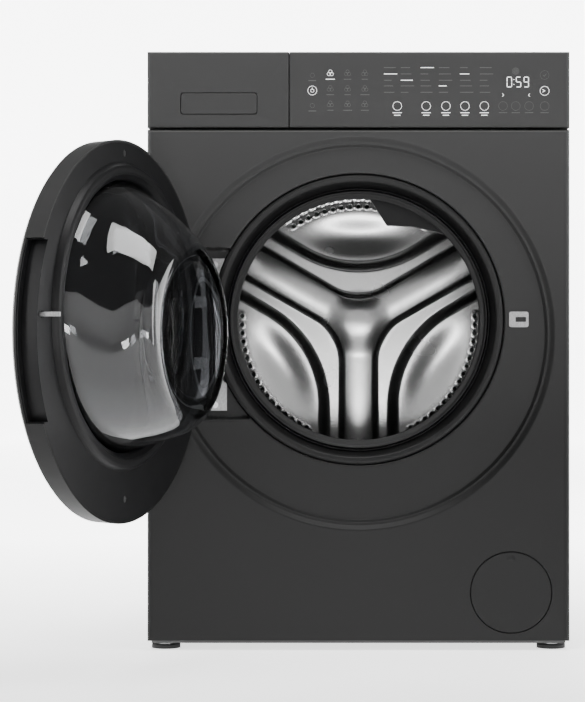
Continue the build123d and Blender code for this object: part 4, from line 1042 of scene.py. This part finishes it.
class Marks:
    """Flat printed marks on the console's face, gathered in one mesh."""

    def __init__(self):
        self.bm = bmesh.new()

    def bar(self, x, z, width, height):
        """A solid bar centred at x and z, in millimetres."""
        radius = min(width, height) * 0.35 * MM
        half_w, half_h = width * MM / 2, height * MM / 2
        cx, cz = x * MM, z * MM
        outline = rounded_rectangle(cx - half_w, cx + half_w, cz - half_h, cz + half_h, radius, 3)
        front = loop(self.bm, [(u, FRONT - PRINT_OUT * MM, v) for u, v in outline])
        back = loop(self.bm, [(u, FRONT + PRINT_IN * MM, v) for u, v in outline])
        strip(self.bm, front, back)
        fill(self.bm, front)

    def ring(self, x, z, radius, width):
        """A round outline."""
        rings = []
        inner = radius - width
        for r, lift in ((radius, -PRINT_IN), (radius, PRINT_OUT), (inner, PRINT_OUT), (inner, -PRINT_IN)):
            rings.append(loop(self.bm, circle_xz(r * MM, 48, x * MM, z * MM, FRONT - lift * MM)))
        for first, second in zip(rings, rings[1:]):
            strip(self.bm, first, second)

    def slant(self, x, z, length, width, angle):
        """A bar turned by an angle in degrees."""
        cos, sin = math.cos(math.radians(angle)), math.sin(math.radians(angle))
        corners = ((-1, -1), (1, -1), (1, 1), (-1, 1))
        rings = []
        for lift in (PRINT_OUT, -PRINT_IN):
            points = []
            for a, b in corners:
                along, across = a * length / 2, b * width / 2
                px, pz = x + along * cos - across * sin, z + along * sin + across * cos
                points.append((px * MM, FRONT - lift * MM, pz * MM))
            rings.append(loop(self.bm, points))
        strip(self.bm, rings[0], rings[1])
        fill(self.bm, rings[0])

    def add(self, name, material):
        """The finished piece."""
        add_piece(name, self.bm, material, "cabinet")


SEGMENTS = {"0": "abcdef", "5": "acdfg", "9": "abcdfg"}
STROKE = 1.0
DIGIT_W, DIGIT_H = 6.4, 14.0


def seven_segments(marks, x, z, digit):
    """One digit of the clock, from its segments a to g."""
    half_w, half_h = DIGIT_W / 2, DIGIT_H / 2
    flat = (max(0.6, DIGIT_W - 1.0), STROKE)
    upright = (STROKE, max(0.6, half_h - 1.0))
    places = {
        "a": (x, z + half_h, flat),
        "g": (x, z, flat),
        "d": (x, z - half_h, flat),
        "f": (x - half_w, z + half_h / 2, upright),
        "b": (x + half_w, z + half_h / 2, upright),
        "e": (x - half_w, z - half_h / 2, upright),
        "c": (x + half_w, z - half_h / 2, upright),
    }
    for segment in SEGMENTS[digit]:
        bar_x, bar_z, (bar_w, bar_h) = places[segment]
        marks.bar(bar_x, bar_z, bar_w, bar_h)


POWER_X, POWER_Z = -65.5, 794.5
START_X, START_Z = 264, 794
KEY_Z, KEY_R = 772.5, 6.4
THICK, MEDIUM, THIN = 0.5, 0.45, 0.4  # widths of the printed rings
LIT_PROGRAMMES = ((0, 1), (1, 2), (2, 0), (3, 3), (4, 1))
PROGRAMME_WIDTHS = (17, 13, 19, 15, 11)


def mark_power(on, off):
    """Power key and the two small keys above and below it."""
    on.ring(POWER_X, POWER_Z, 6.6, THICK)
    on.bar(POWER_X, POWER_Z + 2.5, THICK, 3.6)
    on.ring(POWER_X, POWER_Z - 0.2, 2.6, MEDIUM)
    for z in (816, 773):
        off.ring(POWER_X, z, 3.2, THIN)
        off.bar(POWER_X, z - 7.5, 11, 1.2)


def mark_symbols(on, off):
    """Three by three small signs, each with a line below; only the first is lit."""
    for i, x in enumerate((-40, -15.5, 9)):
        for j, z in enumerate((819, 797, 775)):
            layer = on if i == j == 0 else off
            for turn in (0, 120, 240):
                angle = math.radians(90 + turn)
                layer.ring(x + 2.3 * math.cos(angle), z + 2.3 * math.sin(angle), 2.6, MEDIUM)
            layer.bar(x, z - 8.5, 13 - 2 * ((i + j) % 3), 0.9)


def mark_programmes(on, off):
    """Programme list as bars, one lit in each of the first five columns."""
    for i, x in enumerate((44, 68, 96, 122, 152, 180)):
        for j, z in enumerate((827, 818, 809, 801, 792)):
            layer = on if (i, j) in LIT_PROGRAMMES else off
            width = PROGRAMME_WIDTHS[(i + 2 * j) % len(PROGRAMME_WIDTHS)]
            layer.bar(x + (width - 16) / 2, z, width, 0.9)


def mark_keys(on, off):
    """Row of touch keys: five lit and four dim."""
    for x in (55, 96, 124, 151, 178.5):
        on.ring(x, KEY_Z, KEY_R, MEDIUM)
        on.bar(x, 763, 13, 0.9)
        on.bar(x, 759.4, 9, 0.9)
    for x in (205, 223, 242, 264):
        off.ring(x, KEY_Z, KEY_R, THIN)
        off.bar(x, 763, 12, 0.8)


def mark_start(on, off):
    """Start key with its arrow, and the dim key above it."""
    on.ring(START_X, START_Z, 6.6, THICK)
    on.slant(START_X - 1.2, START_Z + 0.9, 4.4, 0.7, -30)
    on.slant(START_X - 1.2, START_Z - 0.9, 4.4, 0.7, 30)
    off.ring(START_X, 816.5, KEY_R, THIN)
    off.slant(262.6, 815.4, 2.6, 0.7, -45)
    off.slant(265.2, 816.6, 4.6, 0.7, 50)


def mark_clock(on, off):
    """Clock digits with their colon, the signal sign above and an arrow on each side."""
    for x, digit in ((214, "0"), (227, "5"), (238, "9")):
        seven_segments(on, x, 806.5, digit)
    for z in (803, 810):
        on.bar(220.5, z, 1.1, 1.1)
    for radius in (2, 4, 6):
        off.ring(223, 822, radius * 0.8, THICK)
    for x, sign in ((205, -1), (242, 1)):
        on.slant(x, 789.2, 3.0, 0.6, 45 * sign)
        on.slant(x, 786.9, 3.0, 0.6, -45 * sign)


def make_console_marks(bright, dim):
    """Touch keys, programme list, option rings and clock."""
    on, off = Marks(), Marks()
    for group in (mark_power, mark_symbols, mark_programmes, mark_keys, mark_start, mark_clock):
        group(on, off)
    on.add("lit_marks", bright)
    off.add("dim_marks", dim)


# ---------------------------------------------------------------- all pieces


def paint_nodes(materials):
    """Gives every CAD node the material of its slot."""
    slots = {row["node"]: row["material_slot"] for row in frame["record"]["subparts"]}
    for name, node in frame["nodes"].items():
        material = materials[slots[name]]
        if not node.material_slots:
            node.data.materials.append(material)
        for holder in node.material_slots:
            holder.material = material


def make_pieces():
    """Everything that Blender adds or replaces."""
    materials = make_materials()
    paint_nodes(materials)
    make_cabinet_front(materials["graphite_paint"])
    make_pump_cover(materials["graphite_paint"])
    make_gasket(materials["gasket_rubber"])
    make_drum_back(materials["drum_steel"])
    make_drum_wall(materials["drum_steel"])
    make_door_moulding(materials["dark_plastic"])
    make_bowl(materials["bowl_glass"])
    make_springs(materials["bright_steel"])
    make_console(materials["console_plastic"])
    make_drawer_front(materials["console_plastic"])
    make_console_marks(lit("lit_print", 0.8, 0.9), lit("dim_print", 0.05, 0.0))


make_camera()
make_world()
make_lights()
make_floor()
make_pieces()
bpy.context.view_layer.update()
